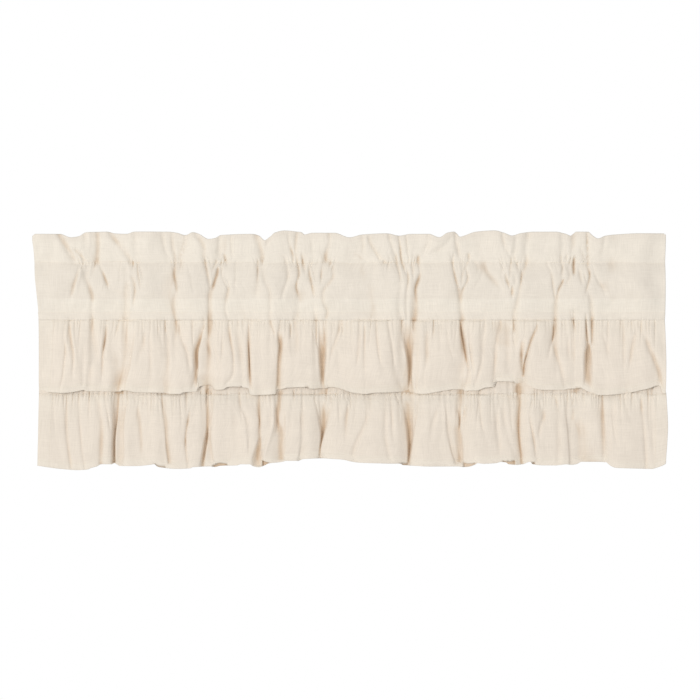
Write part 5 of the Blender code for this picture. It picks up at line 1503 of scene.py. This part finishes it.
def muslin(name, single, doubled, seed):
    """Plain-weave muslin: single and doubled are its colours in one layer and in two or more.

    The cloth's tone is 1 plus each noise's share of TONE times (noise - 0.5).
    """
    material = bpy.data.materials.new(name)
    tree = new_tree(material)
    cloth = add_node(tree, "ShaderNodeUVMap", uv_map="cloth").outputs["UV"]
    layers = add_node(tree, "ShaderNodeAttribute", attribute_name="layers").outputs["Fac"]
    fold = add_node(tree, "ShaderNodeAttribute", attribute_name="fold").outputs["Fac"]

    noises = {}
    for yarn, (across, along, detail, place) in WEAVE.items():
        spot = add_node(tree, "ShaderNodeMapping", {
            "Vector": cloth, "Location": (seed, place, 0.0),
            "Scale": (1.0 / (across * MM), 1.0 / (along * MM), 1.0)})
        noises[yarn] = add_node(tree, "ShaderNodeTexNoise", {
            "Vector": spot.outputs["Vector"], "Scale": 1.0, "Detail": detail, "Roughness": 0.55})

    height = add_noises(tree, noises, HEIGHT, 0.0)
    tone = add_noises(tree, noises, TONE, 1.0 - 0.5 * sum(TONE.values()))

    doubling = add_node(tree, "ShaderNodeMapRange", {
        "Value": layers, "From Min": 1.0, "From Max": 2.0})
    ground = add_node(tree, "ShaderNodeMix", {
        "Factor": doubling.outputs["Result"], "A": linear(single), "B": linear(doubled)},
        data_type="RGBA")
    # Painted shade: by the "fold" attribute the colour turns towards a shaded fold's tan.
    shade_share = add_node(tree, "ShaderNodeMath", {0: fold, 1: FOLD_SHADE_SHARE}, operation="MULTIPLY")
    shaded_ground = add_node(tree, "ShaderNodeMix", {
        "Factor": shade_share.outputs["Value"], "A": ground.outputs["Result"], "B": linear(PAINTED_FOLD_SHADE)},
        data_type="RGBA")
    shade = add_node(tree, "ShaderNodeVectorMath", {
        "Vector": shaded_ground.outputs["Result"], "Scale": tone}, operation="SCALE")
    bump = add_node(tree, "ShaderNodeBump", {
        "Height": height, "Strength": 1.0, "Distance": BUMP * MM})
    shader = add_node(tree, "ShaderNodeBsdfPrincipled", {
        "Base Color": shade.outputs["Vector"], "Normal": bump.outputs["Normal"],
        "Roughness": 0.88, "IOR": 1.5, "Specular IOR Level": 0.25,
        "Sheen Weight": 0.12, "Sheen Roughness": 0.45})
    add_node(tree, "ShaderNodeOutputMaterial", {"Surface": shader.outputs["BSDF"]})
    print("material:", name, len(tree.nodes), "nodes")
    return material


# %% Cotton sewing thread
THREAD_TWIST = 0.7    # mm, length of a turn of the thread's plies
STRIPES = 4.0 * np.pi * THREAD_TWIST    # mm between two light ones; the real ones are too fine
PLY_SHADE = 0.93      # how bright the thread is in the dark ones


def sewing_thread(name, colour):
    """Three-ply cotton thread: slanting stripes of light and shade, slightly lustrous.

    A diagonal wave of Blender's turns by 10 radians on each unit of its scale.
    """
    material = bpy.data.materials.new(name)
    tree = new_tree(material)
    place = add_node(tree, "ShaderNodeTexCoord").outputs["Object"]
    plies = add_node(tree, "ShaderNodeTexWave", {
        "Vector": place, "Scale": 2.0 * np.pi / (10.0 * STRIPES * MM), "Distortion": 1.0},
        bands_direction="DIAGONAL")
    shaded = tuple(PLY_SHADE * part for part in linear(colour)[:3]) + (1.0,)
    fade = add_node(tree, "ShaderNodeMix", {
        "Factor": plies.outputs["Fac"], "A": linear(colour), "B": shaded}, data_type="RGBA")
    shader = add_node(tree, "ShaderNodeBsdfPrincipled", {
        "Base Color": fade.outputs["Result"], "Roughness": 0.6, "IOR": 1.5, "Sheen Weight": 0.1})
    add_node(tree, "ShaderNodeOutputMaterial", {"Surface": shader.outputs["BSDF"]})
    return material


# %% Each cloth gets its muslin
# All four are cut from one bolt. The ruffles hang in one layer with air and shade behind them,
# so they look a little warmer than the heading, which is doubled nearly everywhere.
DRESS = {
    heading: muslin("unbleached_muslin_heading", "#EEE5D8", "#F2EADD", 0.0),
    panel: muslin("unbleached_muslin_panel", "#ECE1D3", "#F0E8DB", 40.0),
    upper: muslin("unbleached_muslin_upper_ruffle", "#EEE3D5", "#F0E7D9", 80.0),
    lower: muslin("unbleached_muslin_lower_ruffle", "#ECE1D3", "#EFE6D8", 120.0),
}
for cloth, material in DRESS.items():
    cloth.data.materials.append(material)
natural_thread = sewing_thread("natural_cotton_thread", "#F1E7D6")
for stitches in (heading_stitches, upper_stitches, lower_stitches):
    stitches.data.materials.append(natural_thread)

# %% [markdown]
# ## What rides, and what it stands for
#
# A valance has no joint, so every piece rides on the one body, and the plain solid that each cloth
# stands for is hidden.

def declare(cloth, stitches, node, wide):
    """Rides on the root body and hides the plain solid of its node. wide, its cloth's size in mm,
    is not used.
    """
    pieces = [cloth] + stitches
    for piece in pieces:
        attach(piece, "root")
    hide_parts(node)


declare(heading, [heading_stitches], "heading", heading_wide)
declare(panel, [], "under_panel", panel_wide)
declare(upper, [upper_stitches], "upper_ruffle", upper_wide)
declare(lower, [lower_stitches], "lower_ruffle", lower_wide)

# %% [markdown]
# ## Camera, floor and light
#
# The photograph looks at the valance from straight in front, from far enough that its sides don't
# turn away. So the camera stands five metres off with a long lens, level with the middle of the
# frame, and its field is as wide as the photograph: 700 pixels of 1.73 mm.
#
# The light is a soft studio's. A pale sky all around takes the hardness from every shade. One
# large lamp stands well off on the left, a little above the valance, and gives each fold its
# shaded side. A faint one on the right keeps that side from going too dark.

# %% Camera
DISTANCE = 5.0        # m from the camera to the rod's plane
PIXEL = 1.73 * MM     # m of the valance in a pixel of the photograph
FIELD = 700 * PIXEL
CLOTH_FRONT = 0.02    # m before the rod's plane, where the field has that width
MIDDLE = -0.2085      # z of the middle of the photograph, m

camera = bpy.data.cameras.new("camera")
camera.sensor_width = 36.0
camera.lens = camera.sensor_width * (DISTANCE - CLOTH_FRONT) / FIELD
camera_object = new_object("camera", camera)
camera_object.location = (0.0, -DISTANCE, MIDDLE)
camera_object.rotation_euler = (np.pi / 2.0, 0.0, 0.0)
bpy.context.scene.camera = camera_object
print("lens:", round(camera.lens, 1), "mm")

# %% The floor
FLOOR_LEVEL = -1.15   # m
FLOOR_HALF = 1.6      # m, half the length of a side
CORNERS = ((-1, -1), (1, -1), (1, 1), (-1, 1))

floor_mesh = bpy.data.meshes.new("floor")
floor_mesh.from_pydata([(right * FLOOR_HALF, back * FLOOR_HALF, FLOOR_LEVEL)
                        for right, back in CORNERS], [], [(0, 1, 2, 3)])
floor = new_object("floor", floor_mesh)
floor_paint = bpy.data.materials.new("pale_studio_floor")
floor_paint.use_nodes = True
floor_shader = floor_paint.node_tree.nodes["Principled BSDF"]
floor_shader.inputs["Base Color"].default_value = linear("#EEEEEE")
floor_shader.inputs["Roughness"].default_value = 0.9
floor_mesh.materials.append(floor_paint)
print("floor:", FLOOR_LEVEL, "m")

# %% The sky: white to the camera, and somewhat dimmer as a light
SKY = 0.525           # strength of the light from all around
WHITE = (1.0, 1.0, 1.0, 1.0)

world = bpy.data.worlds.new("studio")
bpy.context.scene.world = world
tree = new_tree(world)
lights = add_node(tree, "ShaderNodeBackground", {"Color": WHITE, "Strength": SKY})
shows = add_node(tree, "ShaderNodeBackground", {"Color": WHITE, "Strength": 1.0})
seen = add_node(tree, "ShaderNodeLightPath").outputs["Is Camera Ray"]
sky = add_node(tree, "ShaderNodeMixShader", {0: seen, 1: lights.outputs[0], 2: shows.outputs[0]})
add_node(tree, "ShaderNodeOutputWorld", {"Surface": sky.outputs[0]})
print("sky:", SKY)


# %% The two lamps
def lamp(name, place, size, power, colour):
    """A square soft lamp that faces the middle of the valance. Place and size are in m."""
    light = bpy.data.lights.new(name, "AREA")
    light.size = size
    light.energy = power
    light.color = linear(colour)[:3]
    lamp_object = new_object(name, light)
    aim = Vector((0.0, 0.0, MIDDLE)) - Vector(place)
    lamp_object.location = place
    lamp_object.rotation_euler = aim.to_track_quat("-Z", "Y").to_euler()
    print("lamp:", name, power, "W")


lamp("key", (-4.3, -6.5, 0.6), 2.6, 252.0, "#FFFEFC")
lamp("fill", (2.2, -3.3, -0.7), 2.4, 22.0, "#FEFEFF")
bpy.context.scene.view_settings.view_transform = "Standard"
